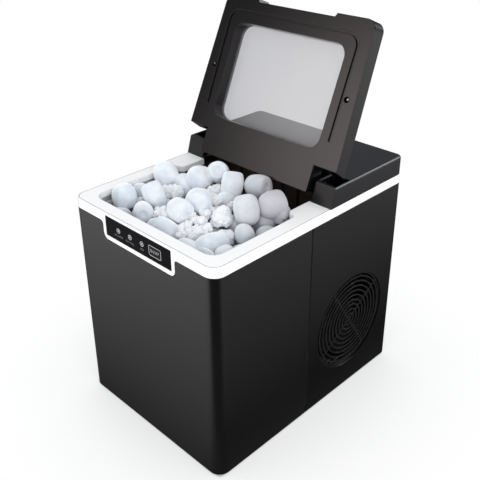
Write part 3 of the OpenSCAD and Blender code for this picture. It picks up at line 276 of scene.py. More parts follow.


# group: a fine line of painted shade, such as in a seam. The distance from it fades colour to black and
# roughness to matt
def shadeLineGroup():
    both = {"Color": "Color", "Roughness": "Float"}
    g, given, out = newGroup("paintedShadeLine", {"Distance": "Float", "Depth": "Float", **both}, both)
    near = ramp(g, given.outputs["Distance"], lines["fade"])
    share = combine(g, "MULTIPLY", near, given.outputs["Depth"])
    link(g, mixed(g, share, given.outputs["Color"], lines["black"]), out.inputs["Color"])
    link(g, mixed(g, share, given.outputs["Roughness"], 1, "FLOAT"), out.inputs["Roughness"])
    return g


# distance from the seam between the two shells, where painted shade darkens the gap: from its level of Y
def fromSeam(tree):
    return combine(tree, "ABSOLUTE", combine(tree, "SUBTRACT", places(tree)[2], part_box("front_shell")[1].y))


# distance from the deck's groove, where shade is painted: a few times that from a rounded rectangle just
# inside the frame's outline, plus the depth below the deck
def fromGroove(tree):
    at, _, _, z = places(tree)
    high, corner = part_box("top_frame")[1], lines["corner"]
    quarter = vectorStep(tree, "ABSOLUTE", vectorStep(tree, "MULTIPLY", at, (1, 1, 0)))
    past = vectorStep(tree, "SUBTRACT", quarter, (high.x - corner, high.y - corner, 0))
    out = vectorStep(tree, "LENGTH", vectorStep(tree, "MAXIMUM", past))
    off = combine(tree, "ABSOLUTE", combine(tree, "SUBTRACT", out, corner - lines["inset"]))
    below = combine(tree, "SUBTRACT", high.z, z)
    return combine(tree, "ADD", combine(tree, "MULTIPLY", off, lines["narrow"]), below)


# distance from a screw's rim, painted dark as shade in its recess: from a ring about its axis, which leans
# back as the open lid does
def fromScrewRim(tree):
    low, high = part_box("lid_screws")
    middle = (low + high) / 2
    hinge = next(j for j in frame["record"]["behaviour"]["joints"] if j["name"] == "lid_hinge")
    lean = -math.radians(hinge["range_deg"][0]) - math.pi / 2
    turn = tree.nodes.new("ShaderNodeMapping")
    turn.vector_type = "TEXTURE"
    turn.inputs["Location"].default_value = (high.x - lines["head"], middle.y, middle.z)
    turn.inputs["Rotation"].default_value = (-lean, 0, 0)
    link(tree, vectorStep(tree, "ABSOLUTE", places(tree)[0]), turn.inputs["Vector"])
    out = vectorStep(tree, "LENGTH", vectorStep(tree, "MULTIPLY", turn.outputs["Vector"], (1, 0, 1)))
    return combine(tree, "SUBTRACT", lines["rim"], out)


mouldGrain, paintedShadeLine = grainGroup(), shadeLineGroup()
finishing = {
    "wear and highlight pale": 0.08,                  # how far a fully pale edge goes towards white, part wear and part painted highlight
    "smoother": 0.85,                   # times the roughness, where the mottle is darkest
    "rougher": 1.15,                    # and lightest
    "coat": 0.08,                       # roughness of a clear coat
}


# moulded plastic, rubber, paint or metal: colour with a slight mottle, roughness that follows it, grain and
# softened edges painted a little paler, part wear and part painted highlight. A line is a distance function
# for a line of painted shade, and deep is how dark the line is
def moulded(name, color, rough=0.4, grain=0.1, scale=900, edge=0.0006, mottle=0.12, metallic=0.0, coat=0.0,
            edgeWearAndHighlight=0.25, shine=0.5, line=None, deep=1.0):
    mat, tree, bsdf = newMaterial(name)
    surface = placed(tree, mouldGrain, Scale=scale, Strength=grain, Edge=edge)
    darker, lighter = [c * (1 - mottle) for c in color], [min(c * (1 + mottle), 1) for c in color]
    paint = mixed(tree, surface["Mottle"], darker, lighter)
    # the edge is painted paler: part wear, part painted highlight
    paint = mixed(tree, surface["WearAndHighlight"], paint, [c + (1 - c) * finishing["wear and highlight pale"] * edgeWearAndHighlight for c in color])
    ends = (0, 1, rough * finishing["smoother"], min(rough * finishing["rougher"], 1))
    matt = ramp(tree, surface["Mottle"], ends)
    if line:
        # painted shade along the line: colour to black, roughness to matt
        mark = placed(tree, paintedShadeLine, Distance=line(tree), Depth=deep, Color=paint, Roughness=matt)
        paint, matt = mark["Color"], mark["Roughness"]
    link(tree, paint, bsdf.inputs["Base Color"])
    link(tree, matt, bsdf.inputs["Roughness"])
    link(tree, surface["Normal"], bsdf.inputs["Normal"])
    bsdf.inputs["Metallic"].default_value = metallic
    bsdf.inputs["Specular IOR Level"].default_value = shine
    bsdf.inputs["Coat Weight"].default_value = coat
    bsdf.inputs["Coat Roughness"].default_value = finishing["coat"]
    return mat


pane = {
    "color": (0.64, 0.642, 0.665),
    "rough": (0.01, 0.025),
    "clear": 0.8,
    "ior": 1.42,
    "smear": 9,                         # scale of the noise that moves the roughness
}


# the lid's pane: clear plastic with a faint tint, whose roughness varies slowly
def paneMaterial(name):
    mat, tree, bsdf = newMaterial(name)
    smear = noise(tree, places(tree)[0], pane["smear"], 2)
    link(tree, ramp(tree, smear, (0, 1, *pane["rough"])), bsdf.inputs["Roughness"])
    bsdf.inputs["Base Color"].default_value = (*pane["color"], 1)
    bsdf.inputs["Transmission Weight"].default_value = pane["clear"]
    bsdf.inputs["IOR"].default_value = pane["ior"]
    return mat


# each ramp: from, to, and the values there; dents is the scale of the noise that makes them
frost = {
    "ice": dict(dark=(0.685, 0.735, 0.805), light=(0.825, 0.865, 0.91), dents=130),
    "crushed_ice": dict(dark=(0.82, 0.83, 0.86), light=(0.93, 0.93, 0.955), dents=500),
    "shadow": (0.45, 0.43, 0.45),       # under the lid, towards the heap's rear right
    "deep": (0.34, 0.38, 0.43),         # painted shade, low in the basket and close to its right and front walls
    "rim": (0.96, 0.98, 1.0),           # painted rim light, where the surface is seen at a low angle
    "rear right": (0.72, 0.69, 0),
    "under lid": (-25 * mm, 35 * mm, 0, 0.8),
    "depth": (deck - 6 * mm, deck - 32 * mm, 0, 0.8),
    "right wall": (basketHigh.x - 23 * mm, basketHigh.x + 2 * mm, 0, 0.62),
    "front wall": (basketLow.y + 25 * mm, basketLow.y - 1 * mm, 0, 0.68),
    "low angle": (0.3, 0.7, 0, 1),
    "cloud": 75,                        # scale of the noise between dark and light
    "tone": (0.36, 0.64, 0, 1),
    "rough": (0.36, 0.64, 0.28, 0.45),
    "dent": 0.35,                       # strength of the dents
    "ior": 1.31,
    "shine": 0.06,
    "sheen": (1.0, 0.15, (0.93, 0.96, 1, 1)),  # weight, roughness and tint
}


# ice: frosted and matt. A noise moves the colour between dark and light and the roughness with it, faces
# seen at a low angle get a painted rim light, small dents tilt the surface, and painted shade darkens the
# heap under the lid, with depth and by two walls
def iceMaterial(name):
    mat, tree, bsdf = newMaterial(name)
    look = frost[name]
    at, x, y, z = places(tree)
    facing = tree.nodes.new("ShaderNodeLayerWeight")
    cloud = noise(tree, at, frost["cloud"], 5)
    # painted shade: deeper in the basket and near its right and front walls
    deep = combine(tree, "MAXIMUM", ramp(tree, z, frost["depth"]), ramp(tree, x, frost["right wall"]))
    deep = combine(tree, "MAXIMUM", deep, ramp(tree, y, frost["front wall"]))
    # painted shadow under the lid, towards the heap's rear right
    back = ramp(tree, vectorStep(tree, "DOT_PRODUCT", at, frost["rear right"]), frost["under lid"])
    paint = mixed(tree, ramp(tree, cloud, frost["tone"]), look["dark"], look["light"])
    # painted rim light: faces seen at a low angle are lighter
    paint = mixed(tree, ramp(tree, facing.outputs["Facing"], frost["low angle"]), paint, frost["rim"])
    paint = mixed(tree, deep, mixed(tree, back, paint, frost["shadow"]), frost["deep"])
    link(tree, paint, bsdf.inputs["Base Color"])
    link(tree, ramp(tree, cloud, frost["rough"]), bsdf.inputs["Roughness"])
    link(tree, bumped(tree, noise(tree, at, look["dents"], 3), frost["dent"], mm), bsdf.inputs["Normal"])
    bsdf.inputs["IOR"].default_value = frost["ior"]
    bsdf.inputs["Specular IOR Level"].default_value = frost["shine"]
    for key, value in zip(("Weight", "Roughness", "Tint"), frost["sheen"]):
        bsdf.inputs["Sheen " + key].default_value = value
    return mat


shellGloss = dict(rough=0.3, grain=0.03, scale=1600, edge=0.0008, line=fromSeam)
looks = {
    "base_pan": dict(color=(0.03, 0.03, 0.033), rough=0.5, grain=0.2, scale=500),
    "feet": dict(color=(0.015, 0.015, 0.015), rough=0.75, grain=0.3, scale=1500, edge=0.001),
    "front_shell": dict(color=(0.0042, 0.0042, 0.0042), **shellGloss),
    "rear_shell": dict(color=(0.002, 0.002, 0.002), **shellGloss),
    # the grille's edges are painted much paler than the default: part wear, part painted highlight
    "fan_grille": dict(color=(0.006, 0.006, 0.0065), rough=0.5, grain=0.1, edge=0.0004, edgeWearAndHighlight=0.8, shine=0.3),
    "top_frame": dict(color=(0.94, 0.94, 0.942), rough=0.25, grain=0.02, edge=0.0008, mottle=0.015,
                      edgeWearAndHighlight=0, line=fromGroove, deep=0.5),
    "control_panel": dict(color=(0.006, 0.0055, 0.0075), rough=0.3, grain=0.01, edge=0.0003, shine=0.02),
    "indicator_lenses": dict(color=(0.02, 0.02, 0.024), rough=0.2, grain=0.01, edge=0.0002, shine=0.2),
    "power_button": dict(color=(0.007, 0.0065, 0.009), rough=0.3, grain=0.01, edge=0.0004, shine=0.08),
    "control_board": dict(color=(0.01, 0.11, 0.035), rough=0.35, grain=0.2, scale=300),
    "power_board": dict(color=(0.01, 0.11, 0.035), rough=0.35, grain=0.2, scale=300),
    "tank_liner": dict(color=(0.52, 0.53, 0.54), rough=0.3, grain=0.04, mottle=0.04),
    "insulation": dict(color=(0.82, 0.8, 0.75), rough=0.9, grain=0.8, scale=350, mottle=0.05),
    "ice_basket": dict(color=(0.44, 0.45, 0.46), rough=0.32, grain=0.04, mottle=0.05),
    "ice_chamber": dict(color=(0.07, 0.052, 0.042), rough=0.5, grain=0.1, shine=0.3),
    "evaporator": dict(color=(0.16, 0.16, 0.165), rough=0.45, grain=0.1, metallic=1, mottle=0.05),
    "water_tray": dict(color=(0.03, 0.03, 0.031), rough=0.5, shine=0.3),
    "tray_motor": dict(color=(0.04, 0.04, 0.045), rough=0.45),
    "ice_shovel": dict(color=(0.09, 0.067, 0.054), rough=0.45, shine=0.3),
    "ice_sensors": dict(color=(0.01, 0.01, 0.012), rough=0.1, coat=0.5),
    "water_pump": dict(color=(0.03, 0.032, 0.036), rough=0.5),
    "water_hose": dict(color=(0.05, 0.05, 0.052), rough=0.5, mottle=0.04),
    "compressor": dict(color=(0.012, 0.012, 0.014), rough=0.3, grain=0.15, scale=400),
    "compressor_grommets": dict(color=(0.015, 0.015, 0.015), rough=0.8),
    "condenser": dict(color=(0.012, 0.012, 0.013), rough=0.5, grain=0.05, edge=0.0001, shine=0.3),
    "filter_dryer": dict(color=(0.72, 0.36, 0.2), rough=0.3, metallic=1),
    "copper_tubes": dict(color=(0.72, 0.36, 0.2), rough=0.3, metallic=1),
    "fan_motor": dict(color=(0.01, 0.01, 0.011), rough=0.5, shine=0.3),
    "fan_blades": dict(color=(0.006, 0.006, 0.007), rough=0.5, shine=0.25),
    "fan_shroud": dict(color=(0.005, 0.005, 0.0055), rough=0.7, shine=0.1),
    "rear_cover": dict(color=(0.0025, 0.0025, 0.0045), rough=0.3, grain=0.05, scale=1600, edge=0.001),
    "lid_frame": dict(color=(0.0015, 0.0015, 0.003), rough=0.3, grain=0.05, scale=1600, edge=0.0012),
    "lid_liner": dict(color=(0.0035, 0.0035, 0.0045), rough=0.2, grain=0.05, scale=1600, edge=0.0008),
    "lid_screws": dict(color=(0.5, 0.46, 0.42), rough=0.3, metallic=1, edge=0.0003, line=fromScrewRim),
    "hinge_pins": dict(color=(0.02, 0.02, 0.022), rough=0.35, metallic=1),
    "drain_plug": dict(color=(0.75, 0.75, 0.75), rough=0.4, mottle=0.03),
    "cord_gland": dict(color=(0.015, 0.015, 0.015), rough=0.75),
    "case_screws": dict(color=(0.2, 0.2, 0.21), rough=0.35, metallic=1, edge=0.0003),
}
finishes = {name: moulded(name, **look) for name, look in looks.items()}
finishes["lid_window"] = paneMaterial("lid_window")
for name, finish in finishes.items():
    nodes[name].data.materials.clear()
    nodes[name].data.materials.append(finish)
print("materials:", len(finishes))

ice = {
    "count": 120,                       # filler pieces under the placed ones
    "radius": 12.2 * mm,
    "spread": 0.9 * mm,                 # by which a filler's radius may differ
    "long": (2.0, 2.2),                 # a filler's length, in radii
    "fine above": 215 * mm,             # fillers over this level are the fine ones
    "fine": (26, 24),                   # rings of faces on a piece, and faces around it
    "coarse": (12, 12),
    "bullet": (60, 56),
    "lump": (52, 60),
    "splinter": (12, 14),
    "wall": 2.3 * mm,                   # the basket's wall and a hair of room
    "over rim": 5 * mm,                 # more than this above the rim, the ice may spread out
    "lip": 2.3 * mm,                    # this far over it
    "neck": 82 * mm,                    # half the width in which the rear wall is low
    "low": 190 * mm,                    # top of the low rear wall
    "top": 4.5 * mm,                    # fillers stay this far below the rim
    "sunk": 0.6,                        # and their centres this many of their radii more
    "steps": 500,                       # of the settling
    "rise": (0.0002, 0.7),              # of the fillers in each step, and for what share of the steps
    "tight": 0.97,                      # two balls are pushed apart when closer than this, in radii of both
    "push": 0.3,                        # share of the overlap that a step takes back
    "anchor": 245 * mm,                 # the heap flattens towards this level as the lid shuts
    "keep": 0.46,                       # and keeps this share of its height
    "swell": 1.12,                      # a lump's radius grows by this, because it is cut back
    "shards": 0.6,                      # small shards on a lump, for each mm of its radius
    "shard": (2.2, 4.2),                # their radius in mm
    "folds": ((2.5, 0.14), (5, 0.07), (9, 0.03), (17, 0.012)),  # a lump's waves: how many, and depth in radii
}

# the top of the heap: centre x, y, z and radius in mm, length in radii, and the way the nose points
bullets = np.array([
    (-82, -103, 254, 14.2, 1.95, -0.16, 0.01, 0.99),
    (-52, -84, 257, 12.1, 2.40, 0.71, -0.09, -0.70),
    (-44, -107, 249, 11.0, 2.10, -0.83, 0.54, -0.14),
    (-80, -43, 258, 14.6, 2.00, 0.82, -0.32, -0.47),
    (-47, -22, 259, 14.8, 2.00, 0.19, -0.90, 0.39),
    (-37, -1, 262, 12.8, 1.95, -0.51, 0.51, -0.69),
    (0, -15, 262, 12.4, 2.55, 0.33, -0.49, -0.81),
    (20, 4, 262, 13.4, 2.20, -0.98, -0.12, -0.18),
    (64, -20, 262, 15.0, 1.95, -0.36, -0.93, -0.04),
    (-4, -62, 258, 15.3, 1.95, 0.46, -0.31, 0.83),
    (-5, -89, 258, 13.1, 2.10, -0.98, 0.12, 0.19),
    (50, -44, 259, 14.0, 2.30, 0.59, -0.45, -0.67),
    (1, -110, 243, 11.7, 2.90, 0.83, 0.38, -0.41),
    (51, -96, 238, 14.2, 2.60, -0.40, -0.92, -0.04),
    (68, -64, 245, 10.5, 2.10, 0.88, -0.46, -0.09),
    (60, -26, 242, 12.6, 2.10, 0.78, -0.06, 0.63),
    (73, -15, 254, 10.2, 2.00, -0.18, 0.19, 0.97),
    (-89, -76, 246, 10.4, 2.10, -0.09, 0.10, 0.99),
    (-61, -33, 247, 12.5, 2.20, 0.79, -0.36, -0.50),
    (43, -52, 240, 9.5, 2.20, 0.79, -0.36, -0.50),
    (2, -27, 249, 10.6, 2.20, 0.75, -0.26, 0.61),
])

# broken pieces between them: centre and radius in mm
broken = np.array([
    (34, -64, 252, 11.0), (-21, -20, 248, 9.7), (-1, -41, 250, 7.7), (-60, -59, 250, 7.9),
    (-53, -53, 250, 6.8), (-27, -97, 248, 7.0), (-17, -97, 248, 5.9), (10, -83, 249, 5.8),
    (20, -82, 249, 6.3), (14, -69, 250, 5.8), (27, -92, 246, 5.2), (27, -99, 243, 6.7),
    (32, -84, 247, 5.7), (16, -104, 243, 8.8), (15, -95, 247, 5.7), (35, -91, 245, 5.6),
    (53, -78, 242, 8.2), (20, -34, 250, 5.4), (14, -57, 250, 5.4),
])


# filler centres: balls rise step by step, are pushed apart where they overlap, and keep clear of the walls
# and of the placed pieces, which stay where they are
def settle(s, fixed):
    n, m = s["count"], len(fixed)
    r = np.concatenate([s["radius"] + s["spread"] * rng.uniform(-1, 1, n), fixed[:, 3] * mm])
    lowest, highest = np.array(basketLow) + s["wall"], np.array(basketHigh) - (s["wall"], s["wall"], s["top"])
    p = np.vstack([rng.uniform(lowest, highest, (n, 3)), fixed[:, :3] * mm])
    low = lowest + r[:n, None]
    high = highest - r[:n, None] * (1, 1, s["sunk"])
    same = np.eye(n + m)
    rise, share = s["rise"]
    for step in range(s["steps"]):
        p[:n, 2] += rise * (step < s["steps"] * share)
        gap = p[:, None] - p[None]
        dist = np.linalg.norm(gap, axis=2) + same
        lap = np.clip(s["tight"] * (r[:, None] + r[None]) - dist, 0, None) * (1 - same)
        p[:n] += ((gap / dist[:, :, None] * lap[:, :, None]).sum(1) * s["push"])[:n]
        p[:n] = np.clip(p[:n], low, high)
    return p[:n], r[:n]


# a smooth curve through the given points: Catmull-Rom weights on each four neighbours
def smoothCurve(k, n):
    k = np.vstack([2 * k[0] - k[1], k, 2 * k[-1] - k[-2]])
    t = np.linspace(0, len(k) - 3 - 1e-9, n)
    i = t.astype(int)
    u = (t - i)[:, None]
    a, b, c, d = k[i], k[i + 1], k[i + 2], k[i + 3]
    bend = (2 * a - 5 * b + 4 * c - d) * u ** 2 + (3 * b - a - 3 * c + d) * u ** 3
    return 0.5 * (2 * b + (c - a) * u + bend)


# one bullet of ice: a turned profile with a domed nose, full sides and a shallow dimple in the open end, and
# slow waves around it that make its radius uneven
def bullet(r, length, seed, rings, around):
    local = np.random.default_rng(seed)
    hole = r * local.uniform(0.28, 0.40)
    deep = length * local.uniform(0.08, 0.16)
    full = local.uniform(0.90, 0.96)
    k = np.array([[0.0001 * r, deep], [0.6 * hole, deep * 0.9], [hole, deep * 0.45],
                  [1.5 * hole, 0.02 * length], [0.8 * r, 0.035 * length], [full * r, 0.15 * length],
                  [r, 0.38 * length], [0.96 * r, 0.6 * length], [0.83 * r, 0.8 * length],
                  [0.5 * r, 0.95 * length], [0.0001 * r, length]])
    profile = smoothCurve(k, rings)
    profile[:, 0] = np.clip(profile[:, 0], 0.0001 * r, None)
    points, faces = revolve(profile, around)
    a = np.arctan2(points[:, 1], points[:, 0])
    lump = sum(local.uniform(0.008, 0.03) * np.cos(m * a + local.uniform(0, 6.28)
               + points[:, 2] / length * local.uniform(-3, 3)) for m in (1, 2, 3, 5))
    points[:, :2] *= 1 + lump[:, None]
    points[:, 2] -= length / 2
    return points, faces[:, ::-1]


# a broken lump: a ball cut back by a few flat planes, then roughened by ever finer and shallower folded waves
def lumpOf(r, seed, rings, around):
    local = np.random.default_rng(seed)
    a = np.linspace(1e-3, np.pi - 1e-3, rings)
    points, faces = revolve(np.stack([np.sin(a), -np.cos(a)], -1), around)
    normals = local.normal(size=(8, 3))
    normals /= np.linalg.norm(normals, axis=1)[:, None]
    size = 1 / np.maximum(((points @ normals.T) / local.uniform(0.6, 0.95, 8)).max(1), 1)
    bent = points + 0.12 * np.sin(points[:, [1, 2, 0]] * 5 + local.uniform(0, 6.28, 3))
    for f, deep in ice["folds"]:
        ways = local.normal(size=(3, 3))
        ways /= np.linalg.norm(ways, axis=1)[:, None]
        folds = np.abs(np.sin(bent @ ways.T * f + local.uniform(0, 6.28, 3)))
        size *= 1 + deep * (folds.min(1) * 2 - 0.5)
    return points * (size * r)[:, None], faces


# a turn by a random unit quaternion
def randomTurn(local):
    q = local.normal(size=4)
    w, x, y, z = q / np.linalg.norm(q)
    return np.array([[1 - 2 * (y * y + z * z), 2 * (x * y - z * w), 2 * (x * z + y * w)],
                     [2 * (x * y + z * w), 1 - 2 * (x * x + z * z), 2 * (y * z - x * w)],
                     [2 * (x * z - y * w), 2 * (y * z + x * w), 1 - 2 * (x * x + y * y)]])


# the turn that carries +Z to a direction, spun about it by a random angle
def turnTo(nose, local):
    w = nose / np.linalg.norm(nose)
    u = np.cross(w, local.normal(size=3))
    u /= np.linalg.norm(u)
    return np.stack([u, np.cross(w, u), w], -1)


# points kept in the basket: inside its walls up to just over the rim, and inside the opening's lip above
def kept(points, s):
    x, y, z = points.T
    inside = z < basketHigh.z + s["over rim"]
    wide = np.where(inside, basketHigh.x - s["wall"], basketHigh.x + s["lip"])
    front = np.where(inside, basketLow.y + s["wall"], basketLow.y - s["lip"])
    walled = (z < s["low"]) | (inside & (np.abs(x) > s["neck"]))
    back = np.where(walled, basketHigh.y - s["wall"], np.inf)
    z = np.maximum(z, basketLow.z + s["wall"])
    return np.stack([np.clip(x, -wide, wide), np.clip(y, front, back), z], -1)


# several pieces as one mesh, kept inside the basket
def heap(parts, s):
    points, faces = joined(parts)
    return kept(points, s), faces


solid, snow = iceMaterial("ice"), iceMaterial("crushed_ice")
centres, radii = settle(ice, np.vstack([bullets[:, :4], broken]))

# every piece draws from its own seed, so a change to one leaves the others alone
below, top, crushed = [], [], []
for i, (centre, r) in enumerate(zip(centres, radii)):
    local = np.random.default_rng(1000 + i)
    detail = ice["fine" if centre[2] > ice["fine above"] else "coarse"]
    points, faces = bullet(r, r * local.uniform(*ice["long"]), i, *detail)
    below.append((points @ randomTurn(local).T + centre, faces))
for i, row in enumerate(bullets):
    local = np.random.default_rng(2000 + i)
    points, faces = bullet(row[3] * mm, row[3] * row[4] * mm, 500 + i, *ice["bullet"])
    top.append((points @ turnTo(row[5:], local).T + row[:3] * mm, faces))
for i, row in enumerate(broken):        # each lump carries small shards on its upper side
    local = np.random.default_rng(3000 + i)
    points, faces = lumpOf(row[3] * ice["swell"] * mm, 700 + i, *ice["lump"])
    crushed.append((points + row[:3] * mm, faces))
    for k in range(int(ice["shards"] * row[3])):
        way = local.normal(size=3)
        way[2] = abs(way[2]) * 0.8
        way /= np.linalg.norm(way)
        r = local.uniform(*ice["shard"]) * mm
        points, faces = lumpOf(r, 4000 + 100 * i + k, *ice["splinter"])
        crushed.append((points + (row[:3] + way * row[3] * local.uniform(0.8, 1.0)) * mm, faces))
obj = makeMesh("ice_below", *heap(below, ice), solid)
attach(obj, "basket")
obj = makeMesh("ice_top", *heap(top, ice), solid)
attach(obj, "basket")
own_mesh(obj)
obj = makeMesh("ice_crushed", *heap(crushed, ice), snow)
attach(obj, "basket")
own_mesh(obj)
print("ice:", len(below), "below,", len(top), "on top,", len(crushed), "broken")

lensLow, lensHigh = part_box("indicator_lenses")
buttonLow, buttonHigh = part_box("power_button")
marks = {                               # printed on the panel and the button
    "thick": 0.06 * mm,
    "lens": lensHigh.z - lensLow.z,     # across one light
    "ring": (2.5 * mm, 0.55 * mm),      # radius and stroke round a light
    "dot": (0.5 * mm, 0.9 * mm),        # and of the dot in its middle
    "names": ("NO WATER", "BIN FULL", "RUN"),
    "below": 6.2 * mm,                  # from a light's centre down to that of its name
    "gap": 0.12,                        # from a letter's place to its left edge, in pitches
    "wide": 0.58,                       # one unit of a letter's width, in pitches
    "name": dict(height=2.0 * mm, pitch=1.75 * mm, w=0.24 * mm),
    "button": dict(height=2.9 * mm, pitch=2.3 * mm, w=0.26 * mm),
    "inset": (1.6 * mm, 1.4 * mm),      # the outline's width and height are less than the button's by this
    "round": 1.6 * mm,
    "outline": 0.45 * mm,
}
bright = dict(color=(0.62, 0.62, 0.63), rough=0.5, edge=0.00002, grain=0.01, mottle=0.05)
faint = dict(bright, color=(0.24, 0.24, 0.245))


# marks are drawn in X and Z on a face; the flat ribbon's height becomes a step towards the front
def onFace(parts, y):
    points, faces = joined(parts)
    return np.stack([points[:, 0], y - points[:, 2], points[:, 1]], -1), faces


strokes = {
    "A": [[(0, 0), (0.65, 2), (1.3, 0)], [(0.25, 0.7), (1.05, 0.7)]],
    "B": [[(0, 0), (0, 2), (1.1, 2), (1.1, 1.05), (0, 1.05)], [(1.1, 1.05), (1.3, 0.9), (1.3, 0), (0, 0)]],
    "E": [[(1.2, 0), (0, 0), (0, 2), (1.2, 2)], [(0, 1.05), (1.0, 1.05)]],
    "F": [[(0, 0), (0, 2), (1.2, 2)], [(0, 1.05), (1.0, 1.05)]],
    "I": [[(0.65, 0), (0.65, 2)]],
    "L": [[(0, 2), (0, 0), (1.2, 0)]],
    "N": [[(0, 0), (0, 2), (1.3, 0), (1.3, 2)]],
    "O": [[(0, 0), (0, 2), (1.3, 2), (1.3, 0), (0, 0)]],
    "R": [[(0, 0), (0, 2), (1.2, 2), (1.2, 1.0), (0, 1.0)], [(0.5, 1.0), (1.3, 0)]],
    "T": [[(0, 2), (1.3, 2)], [(0.65, 2), (0.65, 0)]],
    "U": [[(0, 2), (0, 0), (1.3, 0), (1.3, 2)]],
    "W": [[(0, 2), (0.3, 0), (0.65, 1.4), (1.0, 0), (1.3, 2)]],
    "/": [[(0.1, -0.2), (1.1, 2.2)]],
    " ": [],
}


# a word in plain strokes, centred at x and z: each letter is scaled to the height and set a pitch further on
def word(text, x, z, height, pitch, w):
    out = []
    for i, letter in enumerate(text):
        corner = np.array([x + (i - len(text) / 2 + marks["gap"]) * pitch, z - height / 2])
        for path in strokes[letter]:
            path = np.array(path, float) * [pitch * marks["wide"], height / 2] + corner
            out.append(ribbon(path, w, marks["thick"]))
    return out


ink, faintInk = moulded("ink", **bright), moulded("faint_ink", **faint)
x, z = (lensLow.x + lensHigh.x) / 2, (lensLow.z + lensHigh.z) / 2
step = (lensHigh.x - lensLow.x - marks["lens"]) / 2
rings, names = [], []
for i, text in zip((-1, 0, 1), marks["names"]):
    for (r, w), n in ((marks["ring"], 60), (marks["dot"], 12)):
        circle = arc(x + i * step, z, r, 0, 360 - 360 / n, n)
        rings.append(ribbon(circle, w, marks["thick"], closed=True))
    names += word(text, x + i * step, z - marks["below"], **marks["name"])
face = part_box("control_panel")[0].y
obj = makeMesh("light_marks", *onFace(rings, face), ink, smooth=False)
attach(obj, "case")
obj = makeMesh("name_marks", *onFace(names, face), faintInk, smooth=False)
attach(obj, "case")
x, z = (buttonLow.x + buttonHigh.x) / 2, (buttonLow.z + buttonHigh.z) / 2
wide, high = buttonHigh.x - buttonLow.x - marks["inset"][0], buttonHigh.z - buttonLow.z - marks["inset"][1]
outline = roundedBox(wide, high, marks["round"]) + [x, z]
button = [ribbon(outline, marks["outline"], marks["thick"], closed=True)]
button += word("ON/OFF", x, z, **marks["button"])
obj = makeMesh("button_marks", *onFace(button, buttonLow.y), ink, smooth=False)
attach(obj, "button")
print("marks: done")

# each ramp: from, to, and the values there
stage = {
    "size": 9.0,
    "white": (0.96, 0.96, 0.963),
    "rough": 0.9,
    "shine": 0.1,
    "matt": 1.12,                       # the floor's light for matt surfaces
    "under": (-0.002, 0.002, 0.0, 0.5),  # share of plain white by the distance outside the footprint
    "lift": (0.0, 0.22, 0.0, 0.5),      # and this much more further out, so the shadow fades away
    "ahead": (-0.15, -0.50, 0.11, 1.12),  # in reflections: by Y in front of the machine
    "ahead side": (0.06, 0.17, 1, 0),   # less of it towards the right
    "beside": (0.15, 0.90, 0.0, 1.0),   # by X beside the machine
    "beside back": (-0.2, -0.1, 0, 1),  # more of it towards the back
}


# the floor: white to the camera, with a faint shadow close to the machine, and plain white to matt surfaces
# and through glass. In reflections it brightens with the distance in front of the machine and beside it, and
# stays dark towards the front right
def floorMaterial():
    mat, tree, bsdf = newMaterial("floor")
    _, x, y, _ = places(tree)
    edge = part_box("base_pan")[1]
    outX = combine(tree, "SUBTRACT", combine(tree, "ABSOLUTE", x), edge.x)
    outY = combine(tree, "SUBTRACT", combine(tree, "ABSOLUTE", y), edge.y)
    far = combine(tree, "MAXIMUM", outX, outY)
    lift = combine(tree, "ADD", *(ramp(tree, far, stage[k], "SMOOTHSTEP") for k in ("under", "lift")))
    bsdf.inputs["Base Color"].default_value = (*stage["white"], 1)
    bsdf.inputs["Roughness"].default_value = stage["rough"]
    bsdf.inputs["Specular IOR Level"].default_value = stage["shine"]
    glow, plain, path = (tree.nodes.new("ShaderNode" + k) for k in ("Emission", "Emission", "LightPath"))
    ahead, beside = ramp(tree, y, stage["ahead"]), ramp(tree, x, stage["beside"])
    ahead = combine(tree, "MULTIPLY", ahead, ramp(tree, x, stage["ahead side"], "SMOOTHSTEP"))
    beside = combine(tree, "MULTIPLY", beside, ramp(tree, y, stage["beside back"], "SMOOTHSTEP"))
    through = path.outputs["Is Transmission Ray"]
    mirror = combine(tree, "MULTIPLY", path.outputs["Is Glossy Ray"], combine(tree, "SUBTRACT", 1.0, through))
    matt = combine(tree, "ADD", combine(tree, "MULTIPLY", through, 1 - stage["matt"]), stage["matt"])
    matt = combine(tree, "MULTIPLY", combine(tree, "SUBTRACT", 1.0, mirror), matt)
    mirror = combine(tree, "MULTIPLY", combine(tree, "ADD", ahead, beside), mirror)
    link(tree, combine(tree, "ADD", mirror, matt), plain.inputs["Strength"])
    shown = mixedShader(tree, lift, bsdf.outputs[0], glow.outputs[0])
    shown = mixedShader(tree, path.outputs["Is Camera Ray"], plain.outputs[0], shown)
    link(tree, shown, tree.nodes["Material Output"].inputs["Surface"])
    return mat


s = stage["size"]
corners = np.array([[-s, -s, 0], [s, -s, 0], [s, s, 0], [-s, s, 0]], float)
floor = makeMesh("floor", corners, np.array([[0, 1, 2, 3]]), floorMaterial(), smooth=False)

studio = {
    "ambient": 0.98,                    # seen by matt surfaces from all sides
    "tint": (0.97, 0.985, 1),
    "gloss": 0.035,                     # seen in reflections where no soft box is
    "soft boxes": (                     # direction, cosine where it starts and is full, strength and colour
        ((-0.45, -0.85, 0.28), 0.953, 0.995, 2.9, (1.0, 0.90, 0.86)),
        ((-0.5, 0.5, 0.6), 0.75, 0.98, 0.36, (0.90, 0.94, 1.0)),
        ((0.39, 0.77, 0.52), 0.90, 0.98, 6.0, (0.95, 0.97, 1.0)),
    ),
    "lamps": {                          # place, point it looks at, size and power
        "key": ((-1.0, -1.4, 1.3), (0, 0, 0.15), 1.0, 1.5),
        "front": ((0.8, -1.7, 0.5), (0, 0, 0.2), 1.2, 4),
        "left": ((-1.5, 0.1, 0.8), (0, 0, 0.25), 1.0, 3),
        "side": ((1.6, -0.3, 0.9), (0, 0, 0.2), 1.2, 8),
    },
}

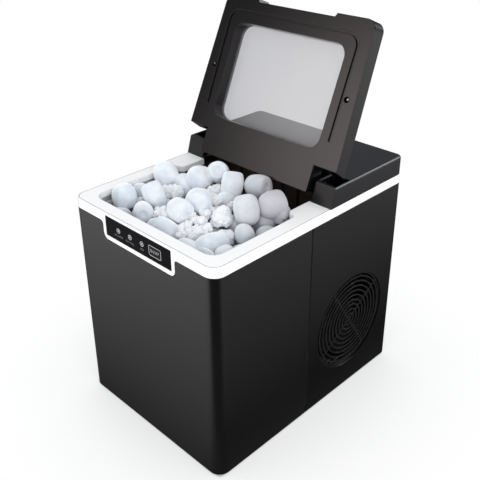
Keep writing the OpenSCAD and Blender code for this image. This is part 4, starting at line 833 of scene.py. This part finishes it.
# the world: white to the camera and through glass, soft boxes in reflections, and plain ambient light
# to matt surfaces
world = bpy.data.worlds.new("studio")
scene.world = world
world.use_nodes = True
sky = world.node_tree
path = sky.nodes.new("ShaderNodeLightPath").outputs
at = sky.nodes.new("ShaderNodeTexCoord").outputs["Generated"]
soft, white, gloss = sky.nodes["Background"], *(sky.nodes.new("ShaderNodeBackground") for k in range(2))
feed(sky, studio["tint"], soft.inputs["Color"])
feed(sky, studio["ambient"], soft.inputs["Strength"])
feed(sky, (1, 1, 1), white.inputs["Color"])
shine = [studio["gloss"]] * 3
for direction, start, full, strength, color in studio["soft boxes"]:
    toward = vectorStep(sky, "DOT_PRODUCT", at, Vector(direction).normalized())
    share = ramp(sky, toward, (start, full, 0, 1), "SMOOTHSTEP")
    shine = mixed(sky, share, shine, [strength * c for c in color])
link(sky, shine, gloss.inputs["Color"])
lit = mixedShader(sky, path["Is Glossy Ray"], soft.outputs[0], gloss.outputs[0])
seen = combine(sky, "MAXIMUM", path["Is Camera Ray"], path["Is Transmission Ray"])
link(sky, mixedShader(sky, seen, lit, white.outputs[0]), sky.nodes["World Output"].inputs["Surface"])


# a square soft panel of light at a place, turned to look at a point
def panelLight(name, at, to, size, power):
    data = bpy.data.lights.new(name, "AREA")
    data.shape, data.size, data.energy = "SQUARE", size, power
    obj = bpy.data.objects.new(name, data)
    obj.location = at
    obj.rotation_euler = (Vector(to) - Vector(at)).to_track_quat("-Z", "Y").to_euler()
    obj.visible_glossy = False
    scene.collection.objects.link(obj)


for name, lamp in studio["lamps"].items():
    panelLight(name, *lamp)
print("stage:", len(studio["lamps"]), "lamps and", len(studio["soft boxes"]), "soft boxes")

camera = {
    "at": (0.51865, -0.52067, 0.60539),
    "turn": (63.5207, 0.4353, 44.8457),     # degrees about X, then Y, then Z
    "lens": 53.9955,
    "sensor": 36,
    "shift": -0.0833,
    "clip": (0.05, 50),
}
data = bpy.data.cameras.new("camera")
data.sensor_width, data.lens, data.shift_y = camera["sensor"], camera["lens"], camera["shift"]
data.dof.use_dof = False
data.clip_start, data.clip_end = camera["clip"]
cam = bpy.data.objects.new("camera", data)
cam.location = camera["at"]
cam.rotation_euler = [math.radians(a) for a in camera["turn"]]
scene.collection.objects.link(cam)
scene.camera = cam
scene.view_settings.view_transform = "Standard"

print("scene: ready")
